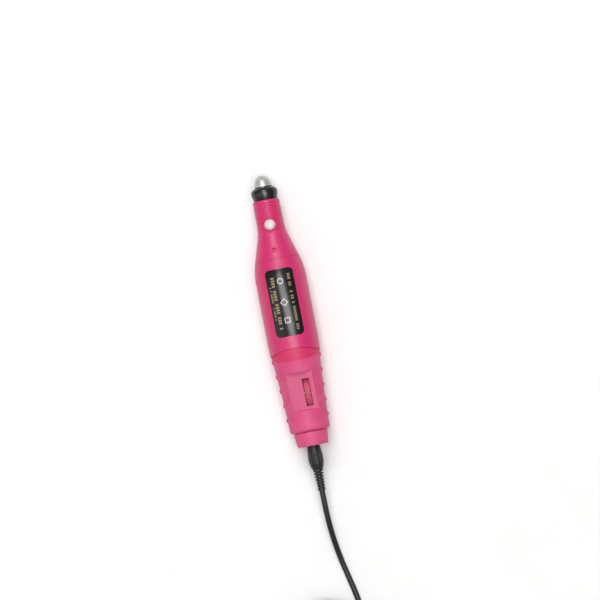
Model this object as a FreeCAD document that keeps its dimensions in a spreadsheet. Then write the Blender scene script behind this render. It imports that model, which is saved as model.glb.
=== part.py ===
import FreeCAD, Part
import math
import os
import re

import Sketcher

# An electric nail drill of the pen kind, with its plug-in power supply, as separate pieces.
#
# The pen lies on its back on the surface Z = 0 with its button, label and speed dial upwards. Its axis runs
# along Y, its tip points to +Y, and the origin is under the middle of the pen.
#
# Pieces of the pen are modelled in the pen's own frame: z is the station, measured from the tip towards the
# cord, x is to the right and y is up. PEN carries that frame into place. Pieces whose axis stands upright,
# such as the lock button, are modelled in a frame that upright() puts at their station. The cord and the
# power supply are modelled where they lie.

DIMENSIONS = [
    ("tip_y", 77.6, "place of the tip along Y"),
    ("axis_height", 14.5, "height of the pen's axis, so that the barrel lies on the surface"),
    ("running_gap", 0.05, "radial clearance between pieces that turn"),
    ("seam_gap", 0.1, "gap between moulded shells"),
    ("cut_margin", 1.0, "how far a cutting form reaches past the piece"),
    # collet nut
    ("nut_length", 6.4, "collet nut, front face to rear face"),
    ("nut_bore_radius", 1.5, "opening for the bit's shank"),
    ("nut_face_radius", 1.9, "flat ring round the opening"),
    ("nut_shoulder_radius", 2.4, "start of the dome"),
    ("nut_shoulder_at", 0.4, "station where the dome starts"),
    ("nut_dome_radius", 6.5, "radius of the dome's arc"),
    ("nut_skirt_radius", 4.9, "end of the dome"),
    ("nut_skirt_at", 4.7, "station where the dome ends"),
    ("nut_rim_radius", 5.1, "rear rim"),
    ("nut_thread_radius", 3.25, "inside of the thread"),
    ("nut_flute_radius", 1.5, "radius of the tool that cuts a flute"),
    ("nut_flute_offset", 6.05, "flute centre from the axis"),
    ("nut_flute_end", 5.3, "station where the flutes stop"),
    # collet
    ("shank_radius", 1.175, "bore of the closed collet, for a 2.35 mm shank"),
    ("collet_front", 0.4, "front face of the collet"),
    ("collet_front_radius", 1.58, "front of the collet's cone"),
    ("collet_cone_radius", 2.6, "back of the collet's cone"),
    ("collet_cone_end", 3.2, "station where the cone ends"),
    ("collet_tail_radius", 1.9, "tail of the collet"),
    ("collet_end", 11.8, "rear face of the collet"),
    ("collet_slot_width", 0.3, "saw cut between the jaws"),
    ("collet_slot_end", 8.8, "station where the saw cuts end"),
    # spindle
    ("spindle_front", 3.8, "front face of the spindle"),
    ("spindle_thread_radius", 3.2, "outside of the thread"),
    ("spindle_thread_end", 7.2, "end of the thread"),
    ("spindle_neck_radius", 2.9, "neck inside the collar"),
    ("spindle_neck_end", 14.7, "shoulder against the front bearing"),
    ("spindle_radius", 2.5, "bearing seats"),
    ("spindle_socket_end", 12.6, "depth of the collet's socket"),
    ("spindle_bore_radius", 1.3, "bore behind the collet"),
    ("spindle_bore_end", 22.0, "end of that bore"),
    ("lock_neck_radius", 2.2, "turned-down length with the lock holes"),
    ("lock_neck_front", 24.5, "start of that length"),
    ("lock_neck_rear", 32.5, "end of that length"),
    ("lock_hole_radius", 0.65, "radial lock holes"),
    ("lock_hole_floor", 0.9, "floor of a lock hole, from the axis"),
    ("spindle_tail_radius", 2.0, "tail inside the coupling"),
    ("spindle_tail_at", 40.0, "start of the tail"),
    ("spindle_end", 46.0, "end of the spindle"),
    # bearings, 5 x 13 x 4 mm
    ("bearing_outer_radius", 6.5, "outside of the bearing"),
    ("bearing_outer_race", 5.35, "inside of the outer race"),
    ("bearing_inner_race", 3.65, "outside of the inner race"),
    ("bearing_width", 4.0, "width of the bearing"),
    ("ball_radius", 0.8, "ball"),
    ("ball_circle", 4.5, "radius of the circle of balls"),
    ("front_bearing_at", 14.8, "front bearing"),
    ("rear_bearing_at", 35.2, "rear bearing"),
    # nose collar
    ("collar_front", 6.8, "front face"),
    ("collar_bore_radius", 3.3, "opening for the spindle"),
    ("collar_face_radius", 4.9, "flat ring round the opening"),
    ("collar_dome_radius", 3.0, "rounding between face and rim"),
    ("collar_rim_radius", 7.6, "rim"),
    ("collar_rim_front", 9.2, "front of the rim"),
    ("collar_rim_rear", 10.2, "rear of the rim"),
    ("collar_end_radius", 6.6, "narrow end"),
    ("collar_end", 14.1, "narrow end"),
    ("collar_web", 1.6, "thickness of the front wall"),
    ("collar_inner_radius", 5.6, "inside, over the housing's spigot"),
    # nose housing
    ("nose_spigot_front", 8.9, "front of the spigot inside the collar"),
    ("nose_spigot_bore", 4.2, "bore of the spigot"),
    ("nose_front", 14.2, "front edge of the housing"),
    ("nose_front_radius", 7.0, "front edge before its rounding"),
    ("nose_edge_radius", 0.6, "rounding of the front edge"),
    ("nose_radius", 7.6, "grip at the front"),
    ("nose_waist_radius", 7.75, "grip where it starts to widen"),
    ("nose_waist", 27.5, "station where it starts to widen"),
    ("nose_flare_radius", 28.7, "arc that widens it"),
    ("nose_cone_radius", 9.03, "start of the cone"),
    ("nose_cone_at", 36.0, "start of the cone"),
    ("nose_end_radius", 12.85, "seam with the barrel"),
    ("nose_end", 48.4, "seam with the barrel"),
    ("nose_rear_spigot_radius", 11.6, "spigot inside the barrel"),
    ("nose_rear_spigot_end", 53.0, "end of that spigot"),
    ("nose_cavity_radius", 10.4, "cavity at the rear"),
    ("nose_cavity_at", 46.0, "start of the cavity"),
    ("nose_throat_radius", 7.4, "throat behind the rear bearing"),
    ("nose_throat_at", 39.6, "start of the throat"),
    ("ring_first", 16.3, "first grip ring"),
    ("ring_pitch", 1.3, "distance between grip rings"),
    ("ring_tool_radius", 0.42, "radius of the tool that cuts a ring"),
    ("ring_depth", 0.16, "depth of a ring"),
    ("dimple_at", 42.7, "oval dimple"),
    ("dimple_half_width", 1.35, "half its width"),
    ("dimple_half_length", 0.75, "half its length"),
    ("dimple_depth", 1.2, "its depth"),
    ("dimple_surface", 11.1, "height of the cone's surface there"),
    # spindle lock
    ("button_at", 28.5, "station of the lock button"),
    ("button_radius", 2.9, "button"),
    ("button_edge", 7.55, "top of the button's side"),
    ("button_top", 8.05, "crown of the button"),
    ("button_crown_radius", 4.2, "rounding between side and crown"),
    ("button_flat_radius", 1.0, "flat middle of the crown"),
    ("button_hole_radius", 3.0, "hole in the housing"),
    ("button_flange_radius", 3.3, "flange that keeps the button in"),
    ("button_flange_bottom", 5.0, "underside of the flange"),
    ("button_flange_top", 5.5, "top of the flange"),
    ("recess_radius", 3.5, "round recess"),
    ("recess_floor", 6.8, "floor of the recess"),
    ("lock_pin_radius", 0.5, "lock pin"),
    ("lock_pin_tip", 2.35, "tip of the pin at rest"),
    ("guide_bottom", 2.4, "underside of the pin's guide plate"),
    ("guide_top", 2.9, "top of the guide plate"),
    ("guide_width", 11.62, "guide plate across"),
    ("guide_length", 7.0, "guide plate along the pen"),
    ("spring_radius", 1.3, "middle of the spring's wire"),
    ("spring_wire_radius", 0.14, "wire"),
    ("spring_pitch", 0.5, "distance between turns"),
    # coupling and motor
    ("coupling_radius", 4.2, "coupling sleeve"),
    ("coupling_front", 41.0, "front face"),
    ("coupling_step", 48.0, "change of bore"),
    ("coupling_end", 55.0, "rear face"),
    ("motor_shaft_radius", 1.15, "motor shaft"),
    ("motor_shaft_front", 48.2, "front end of the shaft"),
    ("motor_shaft_end", 94.5, "rear end of the shaft"),
    ("motor_radius", 12.1, "motor can"),
    ("motor_wall", 0.8, "wall of the can"),
    ("motor_front", 59.0, "front of the can"),
    ("motor_front_wall", 1.2, "front wall of the can"),
    ("motor_boss_radius", 3.6, "boss round the front bush"),
    ("motor_boss_front", 57.6, "front of the boss"),
    ("motor_rear", 90.0, "open end of the can"),
    ("bush_radius", 2.2, "outside of a bush"),
    ("magnet_inner_radius", 9.4, "inside of the magnets"),
    ("magnet_front", 62.0, "front of the magnets"),
    ("magnet_length", 22.0, "length of the magnets"),
    ("magnet_gap", 6.0, "gap between the two magnets"),
    ("core_radius", 9.0, "armature core"),
    ("core_front", 66.0, "front of the core"),
    ("core_length", 14.0, "length of the core"),
    ("slot_circle", 5.6, "radius of the circle of winding slots"),
    ("slot_radius", 2.5, "winding slot"),
    ("slot_mouth", 1.4, "mouth of a winding slot"),
    ("coil_radius", 2.35, "copper in a slot"),
    ("end_turn_outer", 7.7, "outside of the end turns"),
    ("end_turn_inner", 3.4, "inside of the end turns"),
    ("end_turn_length", 2.6, "length of the end turns"),
    ("winding_gap", 0.1, "insulation between core and copper"),
    ("commutator_radius", 2.6, "commutator"),
    ("commutator_front", 84.0, "front of the commutator"),
    ("commutator_length", 5.0, "length of the commutator"),
    ("commutator_saw_from", 1.95, "foot of the gaps between its segments"),
    ("bell_radius", 12.0, "end bell"),
    ("bell_end", 92.0, "rear face of the end bell"),
    ("bell_boss_end", 93.4, "rear face of its boss"),
    ("bell_boss_radius", 4.0, "its boss"),
    ("brush_width", 2.4, "brush across"),
    ("brush_depth", 1.2, "carbon of the brush"),
    ("brush_leaf", 0.3, "leaf spring"),
    ("brush_setback", 1.0, "brushes behind the commutator's front"),
    ("terminal_offset", 7.0, "terminal from the axis"),
    ("terminal_end", 97.0, "end of a terminal"),
    # barrel and label
    ("barrel_radius", 14.5, "barrel"),
    ("barrel_front", 48.5, "seam with the nose"),
    ("barrel_front_radius", 12.9, "radius at that seam"),
    ("barrel_shoulder_radius", 44.3125, "arc of the shoulder, tangent to the barrel"),
    ("barrel_shoulder_end", 60.3, "end of the shoulder"),
    ("barrel_taper_at", 96.0, "start of the rear taper"),
    ("barrel_end_radius", 14.2, "rear of the barrel"),
    ("barrel_end", 104.5, "rear of the barrel before the arch is cut"),
    ("barrel_front_bore", 11.65, "bore over the nose's spigot"),
    ("barrel_front_bore_end", 53.2, "end of that bore"),
    ("barrel_ledge_radius", 10.5, "ledge in front of the motor"),
    ("motor_bore_radius", 12.15, "bore round the motor"),
    ("barrel_spigot_at", 94.0, "end of the motor's bore"),
    ("barrel_spigot_radius", 12.3, "spigot inside the rear cover"),
    ("barrel_spigot_bore", 11.2, "bore of the spigot"),
    ("barrel_spigot_end", 107.2, "end of the spigot"),
    ("arch_radius", 36.5, "radius of the arched seam, seen from above"),
    ("arch_apex", 99.6, "foremost point of the arched seam"),
    ("label_front", 54.4, "front edge of the label"),
    ("label_rear", 92.7, "rear edge of the label"),
    ("label_width", 15.9, "width of the label"),
    ("label_corner", 2.5, "corner radius"),
    ("label_thickness", 0.15, "thickness of the label"),
    # rear cover
    ("cover_front", 98.0, "front of the cover before the arch is cut"),
    ("cover_front_radius", 14.2, "radius there"),
    ("cover_arc_radius", 550.0, "radius of the cover's long curve"),
    ("cover_end_radius", 11.4, "radius at the rear"),
    ("cover_end_at", 145.5, "start of the rear rounding"),
    ("cover_edge_radius", 1.6, "rear rounding"),
    ("cover_end", 147.0, "rear face"),
    ("cover_face_radius", 9.85, "rear face"),
    ("cover_socket_radius", 12.4, "inside, over the barrel's spigot"),
    ("cover_socket_end", 107.4, "end of that socket"),
    ("cover_inner_front", 11.7, "inner radius behind the socket"),
    ("cover_inner_rear", 9.8, "inner radius at the rear"),
    ("cover_inner_end", 145.2, "inside of the rear wall"),
    ("cover_neck_radius", 7.6, "opening for the tail"),
    ("bump_radius", 1.7, "radius of a grip bump"),
    ("bump_first", 105.3, "first grip bump"),
    ("bump_pitch", 8.4, "distance between grip bumps"),
    ("bump_inset", 1.05, "bump centre inside the cover's outline"),
    ("bump_half_height", 1.7, "half the height of a bump"),
    ("screw_offset", 7.0, "cover screws to the right of the axis"),
    ("screw_front_at", 110.5, "front cover screw"),
    ("screw_rear_at", 138.6, "rear cover screw"),
    ("screw_radius", 0.9, "thread of a screw"),
    ("screw_head_radius", 1.7, "head of a screw"),
    ("screw_head_height", 1.3, "height of a head"),
    ("cross_length", 2.4, "cross recess, tip to tip"),
    ("cross_width", 0.3, "cross recess, width of a slot"),
    ("cross_depth", 0.8, "cross recess, depth"),
    ("screw_top", 3.0, "top of a screw above the parting plane"),
    ("post_radius", 2.0, "screw post in the upper cover"),
    ("boss_radius", 2.9, "screw boss in the lower cover"),
    ("boss_top", 4.1, "top of that boss below the parting plane"),
    # dial
    ("panel_width", 15.1, "recessed panel across"),
    ("panel_length", 21.9, "recessed panel along the pen"),
    ("panel_middle", 124.15, "station of the panel's middle"),
    ("panel_height", 9.45, "height of the panel there"),
    ("panel_tilt", 3.6, "slope of the panel in degrees"),
    ("panel_plate", 0.6, "thickness of the inlaid plate"),
    ("tray_wall", 1.1, "wall round and under the panel"),
    ("slot_width", 3.8, "slot over the dial"),
    ("slot_length", 15.6, "length of the slot"),
    ("slot_middle", 1.05, "slot's middle behind the panel's middle"),
    ("dial_offset", 3.1, "dial to the right of the axis"),
    ("dial_at", 125.2, "station of the dial"),
    ("dial_height", 0.6, "dial's axis above the pen's axis"),
    ("dial_radius", 9.0, "dial"),
    ("dial_width", 3.2, "thickness of the dial"),
    ("dial_notch_radius", 0.45, "knurl notch"),
    ("dial_shaft_radius", 1.5, "dial shaft"),
    ("dial_shaft_left", -3.4, "left end of the shaft"),
    ("dial_shaft_right", 5.6, "right end of the shaft"),
    ("pot_radius", 7.0, "potentiometer"),
    ("pot_thickness", 3.1, "its thickness"),
    ("board_face", -3.6, "right face of the circuit board"),
    ("board_thickness", 1.6, "circuit board"),
    ("board_front", 108.0, "front edge of the board"),
    ("board_rear", 137.0, "rear edge of the board"),
    ("board_bottom", -7.6, "lower edge of the board"),
    ("board_top", 6.2, "upper edge of the board"),
    ("capacitor_radius", 3.0, "capacitor"),
    ("capacitor_length", 7.5, "its length"),
    ("capacitor_at", 112.0, "its station"),
    ("transistor_at", 132.6, "front of the transistor"),
    ("transistor_length", 4.0, "along the pen"),
    ("transistor_width", 4.4, "across"),
    ("transistor_height", 9.0, "height"),
    ("lead_radius", 0.6, "insulated lead"),
    # tail and jack
    ("tail_flange_front", 143.2, "front of the tail's flange"),
    ("tail_flange_rear", 145.1, "rear of the flange"),
    ("tail_flange_radius", 9.4, "flange inside the cover"),
    ("tail_neck_radius", 7.5, "neck through the cover"),
    ("tail_front", 147.1, "front of the visible block"),
    ("tail_front_radius", 9.7, "its radius there"),
    ("tail_end", 155.2, "rear face"),
    ("tail_end_radius", 8.7, "radius of the rear face"),
    ("tail_pocket_radius", 5.65, "pocket for the jack"),
    ("tail_pocket_end", 153.7, "end of that pocket"),
    ("tail_hole_radius", 3.1, "hole for the plug"),
    ("jack_radius", 5.6, "jack"),
    ("jack_front", 142.0, "front of the jack"),
    ("jack_rear", 153.6, "rear of the jack"),
    ("jack_bore_radius", 2.85, "jack's bore"),
    ("jack_floor", 143.6, "floor of the bore"),
    ("jack_pin_radius", 1.0, "centre pin"),
    ("jack_pin_end", 152.0, "end of the pin"),
    # plug
    ("plug_front", 155.3, "front face of the plug's grip"),
    ("plug_front_radius", 3.6, "radius of that face"),
    ("plug_belly_radius", 4.2, "widest place"),
    ("plug_belly_at", 164.3, "station of the widest place"),
    ("plug_belly_arc", 48.0, "arc from the front to the widest place"),
    ("plug_tail_arc", 14.0, "arc from there to the strain relief"),
    ("plug_tail_radius", 2.9, "end of the grip"),
    ("plug_tail_at", 169.0, "end of the grip"),
    ("plug_barrel_radius", 2.75, "metal barrel"),
    ("plug_barrel_bore", 1.3, "inside of the barrel"),
    ("plug_barrel_front", 145.9, "tip of the barrel"),
    ("plug_barrel_end", 158.0, "end of the barrel inside the grip"),
    ("plug_sleeve_bore", 1.04, "inside of the centre contact"),
    ("plug_sleeve_front", 146.6, "front of the centre contact"),
    ("relief_end", 181.0, "end of the strain relief"),
    ("relief_front_radius", 2.85, "strain relief at the plug"),
    ("relief_end_radius", 2.05, "strain relief at the cord"),
    ("relief_waist_radius", 1.75, "between the ribs"),
    ("rib_pitch", 1.7, "distance between ribs"),
    ("rib_gap", 0.7, "groove between ribs"),
    # cord
    ("cord_radius", 1.6, "cord"),
    ("coil_x", -12.4, "middle of the coil"),
    ("coil_y", -187.0, "middle of the coil"),
    ("coil_inner", 13.2, "inside of the coil"),
    ("coil_outer", 22.8, "outside of the coil"),
    ("coil_height", 12.8, "height of the coil"),
    ("tie_thickness", 0.5, "tie band"),
    ("tie_width", 5.0, "tie band"),
    ("tie_inside", 12.95, "inner leg of a tie, from the coil's middle"),
    # power supply
    ("adapter_x", -10.4, "middle of the power supply"),
    ("adapter_front", -242.0, "face where the cord enters"),
    ("adapter_width", 42.0, "across"),
    ("adapter_height", 26.0, "height as it lies"),
    ("adapter_length", 51.0, "case without its pin plate"),
    ("adapter_wall", 2.0, "wall of the case"),
    ("adapter_corner", 4.0, "corner radius"),
    ("adapter_edge", 1.8, "rounding of the edge where the cord enters"),
    ("adapter_plate", 3.0, "pin plate"),
    ("pin_radius", 2.0, "mains pin"),
    ("pin_spacing", 18.6, "distance between the pins"),
    ("pin_length", 19.0, "length of a pin"),
    ("pin_root", 7.0, "length of a pin's root, through the plate and into the case"),
    ("pin_root_radius", 1.6, "root of a pin"),
    ("pin_recess_radius", 2.3, "recess round a pin in the plate's face"),
    ("pin_recess_depth", 0.8, "its depth"),
    ("adapter_relief_length", 11.0, "strain relief"),
    ("adapter_relief_root", 3.6, "its radius at the case"),
    ("adapter_relief_tip", 2.2, "its radius at the cord"),
    ("supply_board_thickness", 1.6, "supply's circuit board"),
    ("supply_board_length", 42.0, "its length"),
    ("supply_board_width", 34.0, "its width"),
    ("supply_board_height", 6.0, "height of its underside"),
    ("supply_board_shift", 2.0, "its middle in front of the case's middle"),
    ("transformer_size", 15.0, "transformer's sides"),
    ("transformer_height", 12.0, "transformer's height"),
]

RING_COUNT = 13
BALL_COUNT = 8
FLUTE_COUNT = 6
BUMP_COUNT = 5
NOTCH_COUNT = 36
RIB_COUNT = 6
SPRING_TURNS = 3.6

doc = FreeCAD.newDocument("NailDrill")
sheet = doc.addObject("Spreadsheet::Sheet", "Dims")
for row, (alias, value, meaning) in enumerate(DIMENSIONS, 1):
    sheet.set(f"A{row}", meaning)
    sheet.set(f"B{row}", str(value))
    sheet.setAlias(f"B{row}", alias)
doc.recompute()

ALIASES = {alias for alias, value, meaning in DIMENSIONS}
WORD = re.compile(r"[a-z][a-z0-9_]*")
KEPT = {}
CUTS = []
X_AXIS = FreeCAD.Vector(1, 0, 0)
Y_AXIS = FreeCAD.Vector(0, 1, 0)
Z_AXIS = FreeCAD.Vector(0, 0, 1)


def bound(text):
    """The expression with each alias pointing at the sheet."""
    return WORD.sub(lambda word: "Dims." + word[0] if word[0] in ALIASES else word[0], str(text))


def size(text):
    """The value of an expression of aliases, in millimetres."""
    return float(sheet.evalExpression(bound(text)))


def at(x, y, z):
    """A point from three expressions."""
    return FreeCAD.Vector(size(x), size(y), size(z))


PEN = FreeCAD.Placement(at(0, "tip_y", "axis_height"), FreeCAD.Rotation(X_AXIS, 90))
HERE = FreeCAD.Placement()


def upright(station):
    """The frame of a piece that stands on the pen's axis at a station, with its own z upwards."""
    return FreeCAD.Placement(at(0, f"tip_y - {station}", "axis_height"), FreeCAD.Rotation())


def keep(name, piece, placement):
    """Names a finished piece and puts it in place. A primitive keeps its bound place inside a group."""
    if piece.TypeId in ("Part::Cylinder", "Part::Cone", "Part::Box"):
        piece = group(piece)
    piece.Label = name
    piece.Placement = placement
    KEPT[name] = piece


def move(piece, x, y, z):
    """Binds a primitive's place to the sheet."""
    for axis, text in (("x", x), ("y", y), ("z", z)):
        piece.setExpression(f"Placement.Base.{axis}", bound(text))


TURNED_TO = {
    "x": FreeCAD.Rotation(Y_AXIS, 90),
    "y": FreeCAD.Rotation(X_AXIS, -90),
    "z": FreeCAD.Rotation(),
}


def cylinder(radius, height, x=0, y=0, z=0, along="z"):
    piece = doc.addObject("Part::Cylinder", "Cylinder")
    piece.setExpression("Radius", bound(radius))
    piece.setExpression("Height", bound(height))
    piece.Placement = FreeCAD.Placement(at(x, y, z), TURNED_TO[along])
    move(piece, x, y, z)
    return piece


def cone(radius_1, radius_2, height, x=0, y=0, z=0, along="z"):
    piece = doc.addObject("Part::Cone", "Cone")
    piece.setExpression("Radius1", bound(radius_1))
    piece.setExpression("Radius2", bound(radius_2))
    piece.setExpression("Height", bound(height))
    piece.Placement = FreeCAD.Placement(at(x, y, z), TURNED_TO[along])
    move(piece, x, y, z)
    return piece


def box(size_x, size_y, size_z, x, y, z):
    """A box from its lowest corner."""
    piece = doc.addObject("Part::Box", "Box")
    for side, text in (("Length", size_x), ("Width", size_y), ("Height", size_z)):
        piece.setExpression(side, bound(text))
    move(piece, x, y, z)
    return piece


def fuse(*pieces):
    joined = doc.addObject("Part::MultiFuse", "Fuse")
    joined.Shapes = list(pieces)
    return joined


def group(*pieces):
    """Separate solids that are one node."""
    together = doc.addObject("Part::Compound", "Group")
    together.Links = list(pieces)
    return together


def cut(base, *tools):
    """The base without the tools. The last check of this file compares the volumes."""
    left = doc.addObject("Part::Cut", "Cut")
    left.Base = base
    left.Tool = tools[0] if len(tools) == 1 else fuse(*tools)
    CUTS.append((left, base))
    return left


def common(base, tool):
    shared = doc.addObject("Part::MultiCommon", "Common")
    shared.Shapes = [base, tool]
    return shared


def turn(piece, angle):
    """Turns a primitive about the pen's axis, with its place."""
    turned = doc.addObject("Part::Compound", "Turned")
    turned.Links = [piece]
    turned.Placement = FreeCAD.Placement(FreeCAD.Vector(), FreeCAD.Rotation(Z_AXIS, angle))
    return turned


def arc(start, stop, radius, turning):
    """The short arc from start to stop; turning is 1 for anticlockwise and -1 for clockwise."""
    chord = stop - start
    side = FreeCAD.Vector(-chord.y, chord.x, 0).normalize()
    height = math.sqrt(radius**2 - (chord.Length / 2) ** 2)
    centre = (start + stop) / 2 + side * height * turning
    first, last = (start, stop) if turning > 0 else (stop, start)
    angles = [math.atan2(p.y - centre.y, p.x - centre.x) for p in (first, last)]
    if angles[1] < angles[0]:
        angles[1] += 2 * math.pi
    return Part.ArcOfCircle(Part.Circle(centre, Z_AXIS, radius), *angles)


def outline(body, plane, corners):
    """A closed sketch on one of the body's own planes. A corner is (x, y); with (x, y, radius, turning) an arc
    runs from it to the next corner. Every corner and radius is a constraint bound to the sheet."""
    sketch = body.newObject("Sketcher::SketchObject", "Outline")
    planes = {feature.Role: feature for feature in body.Origin.OriginFeatures}
    sketch.AttachmentSupport = [(planes[plane], "")]
    sketch.MapMode = "FlatFace"
    spots = [at(corner[0], corner[1], 0) for corner in corners]
    ends = []
    for i, corner in enumerate(corners):
        start, stop = spots[i], spots[(i + 1) % len(spots)]
        if len(corner) == 2:
            sketch.addGeometry(Part.LineSegment(start, stop), False)
            ends.append((1, 2))
        else:
            sketch.addGeometry(arc(start, stop, size(corner[2]), corner[3]), False)
            ends.append((1, 2) if corner[3] > 0 else (2, 1))
    for i, corner in enumerate(corners):
        after = (i + 1) % len(corners)
        sketch.addConstraint(Sketcher.Constraint("Coincident", i, ends[i][1], after, ends[after][0]))
        across = ("DistanceX", corner[0], spots[i].x, -2)
        along = ("DistanceY", corner[1], spots[i].y, -1)
        for kind, text, value, axis in (across, along):
            if abs(value) < 1e-9:
                sketch.addConstraint(Sketcher.Constraint("PointOnObject", i, ends[i][0], axis))
                continue
            index = sketch.addConstraint(Sketcher.Constraint(kind, -1, 1, i, ends[i][0], value))
            sketch.setExpression(f"Constraints[{index}]", bound(text))
        if len(corner) > 2:
            index = sketch.addConstraint(Sketcher.Constraint("Radius", i, size(corner[2])))
            sketch.setExpression(f"Constraints[{index}]", bound(corner[2]))
    return sketch


def turned(corners):
    """A body of revolution about its z axis, from an outline of (radius, station) corners."""
    body = doc.addObject("PartDesign::Body", "Turned")
    sketch = outline(body, "XZ_Plane", corners)
    revolution = body.newObject("PartDesign::Revolution", "Revolution")
    revolution.Profile = sketch
    revolution.ReferenceAxis = (sketch, ["V_Axis"])
    revolution.Angle = 360
    sketch.Visibility = False
    return body


def tube(points, radius):
    """A round tube along straight runs joined by tangent arcs, each arc as large as its runs allow.
    Returns the shape, the smallest radius of its arcs and the length of its path."""
    edges, radii = [], []
    here = points[0]
    for before, corner, after in zip(points, points[1:], points[2:]):
        inwards, outwards = (corner - before), (after - corner)
        half_turn = inwards.getAngle(outwards) / 2
        reach = 0.45 * min(inwards.Length, outwards.Length)
        bend = reach / math.tan(half_turn)
        first = corner - inwards.normalize() * reach
        last = corner + outwards.normalize() * reach
        middle_way = (first + last) / 2 - corner
        crown = corner + middle_way.normalize() * (bend / math.cos(half_turn) - bend)
        edges.append(Part.LineSegment(here, first).toShape())
        edges.append(Part.Arc(first, crown, last).toShape())
        radii.append(bend)
        here = last
    edges.append(Part.LineSegment(here, points[-1]).toShape())
    path = Part.Wire(edges)
    ring = Part.Wire(Part.makeCircle(radius, points[0], points[1] - points[0]))
    shape = path.makePipeShell([ring], True, False)
    return shape, radii, path.Length


def tube_node(name, points, radius, placement):
    """A tube as a node of its own, with its volume compared with its section times its length."""
    shape, radii, length = tube([FreeCAD.Vector(*p) for p in points], size(radius))
    expected = math.pi * size(radius) ** 2 * length
    if abs(shape.Volume - expected) > 0.01 * expected:
        raise ValueError(f"{name}: its volume is {shape.Volume:.1f} and should be {expected:.1f}")
    piece = doc.addObject("Part::Feature", "Tube")
    piece.Shape = shape
    keep(name, piece, placement)
    print(f"{name}: {length:.1f} mm long, arc radii", ", ".join(f"{r:.1f}" for r in radii))


# Collet nut: a fluted dome screwed on the spindle's nose. Its inner cone closes the collet.
def collet_nut():
    body = turned([
        ("nut_bore_radius", 0),
        ("nut_face_radius", 0),
        ("nut_shoulder_radius", "nut_shoulder_at", "nut_dome_radius", 1),
        ("nut_skirt_radius", "nut_skirt_at"),
        ("nut_rim_radius", "nut_flute_end"),
        ("nut_rim_radius", "nut_length"),
        ("nut_thread_radius", "nut_length"),
        ("nut_thread_radius", "collet_cone_end + seam_gap"),
        ("collet_cone_radius + running_gap", "collet_cone_end + seam_gap"),
        ("nut_bore_radius + 2 * running_gap", "collet_front - seam_gap"),
    ])
    flutes = []
    for i in range(FLUTE_COUNT):
        flute = cylinder("nut_flute_radius", "nut_flute_end + nut_length",
                         "nut_flute_offset", 0, "-nut_length")
        flutes.append(turn(flute, 360 / FLUTE_COUNT * (i + 0.5)))
    keep("collet_nut", cut(body, *flutes), PEN)


# Collet: a steel sleeve with three saw cuts that springs shut on the shank of a bit.
def collet():
    body = turned([
        ("shank_radius", "collet_front"),
        ("collet_front_radius", "collet_front"),
        ("collet_cone_radius", "collet_cone_end"),
        ("collet_tail_radius", "collet_cone_end"),
        ("collet_tail_radius", "collet_end"),
        ("shank_radius", "collet_end"),
    ])
    saws = []
    for i in range(3):
        saw = box("2 * collet_cone_radius", "collet_slot_width", "collet_slot_end",
                  0, "-collet_slot_width / 2", 0)
        saws.append(turn(saw, 90 + 120 * i))
    keep("collet", cut(body, *saws), PEN)


# Spindle: threaded nose, two bearing seats, and a necked length with four lock holes.
def spindle():
    body = turned([
        ("collet_tail_radius + running_gap", "spindle_front"),
        ("spindle_thread_radius", "spindle_front"),
        ("spindle_thread_radius", "spindle_thread_end"),
        ("spindle_neck_radius", "spindle_thread_end"),
        ("spindle_neck_radius", "spindle_neck_end"),
        ("spindle_radius", "spindle_neck_end"),
        ("spindle_radius", "lock_neck_front"),
        ("lock_neck_radius", "lock_neck_front"),
        ("lock_neck_radius", "lock_neck_rear"),
        ("spindle_radius", "lock_neck_rear"),
        ("spindle_radius", "spindle_tail_at"),
        ("spindle_tail_radius", "spindle_tail_at"),
        ("spindle_tail_radius", "spindle_end"),
        (0, "spindle_end"),
        (0, "spindle_bore_end"),
        ("spindle_bore_radius", "spindle_bore_end"),
        ("spindle_bore_radius", "spindle_socket_end"),
        ("collet_tail_radius + running_gap", "spindle_socket_end"),
    ])
    holes = []
    for i in range(4):
        hole = cylinder("lock_hole_radius", "spindle_radius", 0, "lock_hole_floor", "button_at", "y")
        holes.append(turn(hole, 90 * i))
    keep("spindle", cut(body, *holes), PEN)


# The two ball bearings: outer races held by the nose housing, inner races on the spindle.
def bearing(name, start):
    end = f"{start} + bearing_width"
    outer = turned([
        ("bearing_outer_race", start), ("bearing_outer_radius", start),
        ("bearing_outer_radius", end), ("bearing_outer_race", end),
    ])
    inner = turned([
        ("spindle_radius", start), ("bearing_inner_race", start),
        ("bearing_inner_race", end), ("spindle_radius", end),
    ])
    balls = []
    for i in range(BALL_COUNT):
        angle = math.radians(360 / BALL_COUNT * i)
        ball = doc.addObject("Part::Sphere", "Ball")
        ball.setExpression("Radius", bound("ball_radius"))
        move(ball, f"ball_circle * {math.cos(angle):.6f}", f"ball_circle * {math.sin(angle):.6f}",
             f"{start} + bearing_width / 2")
        balls.append(ball)
    keep(f"{name}_bearing_outer_race", outer, PEN)
    keep(f"{name}_bearing_inner_race", inner, PEN)
    keep(f"{name}_bearing_balls", group(*balls), PEN)


# Nose collar: the black cap between the nut and the pink housing.
def nose_collar():
    keep("nose_collar", turned([
        ("collar_bore_radius", "collar_front"),
        ("collar_face_radius", "collar_front", "collar_dome_radius", 1),
        ("collar_rim_radius", "collar_rim_front"),
        ("collar_rim_radius", "collar_rim_rear"),
        ("collar_end_radius", "collar_end"),
        ("collar_inner_radius", "collar_end"),
        ("collar_inner_radius", "collar_front + collar_web"),
        ("collar_bore_radius", "collar_front + collar_web"),
    ]), PEN)


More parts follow.
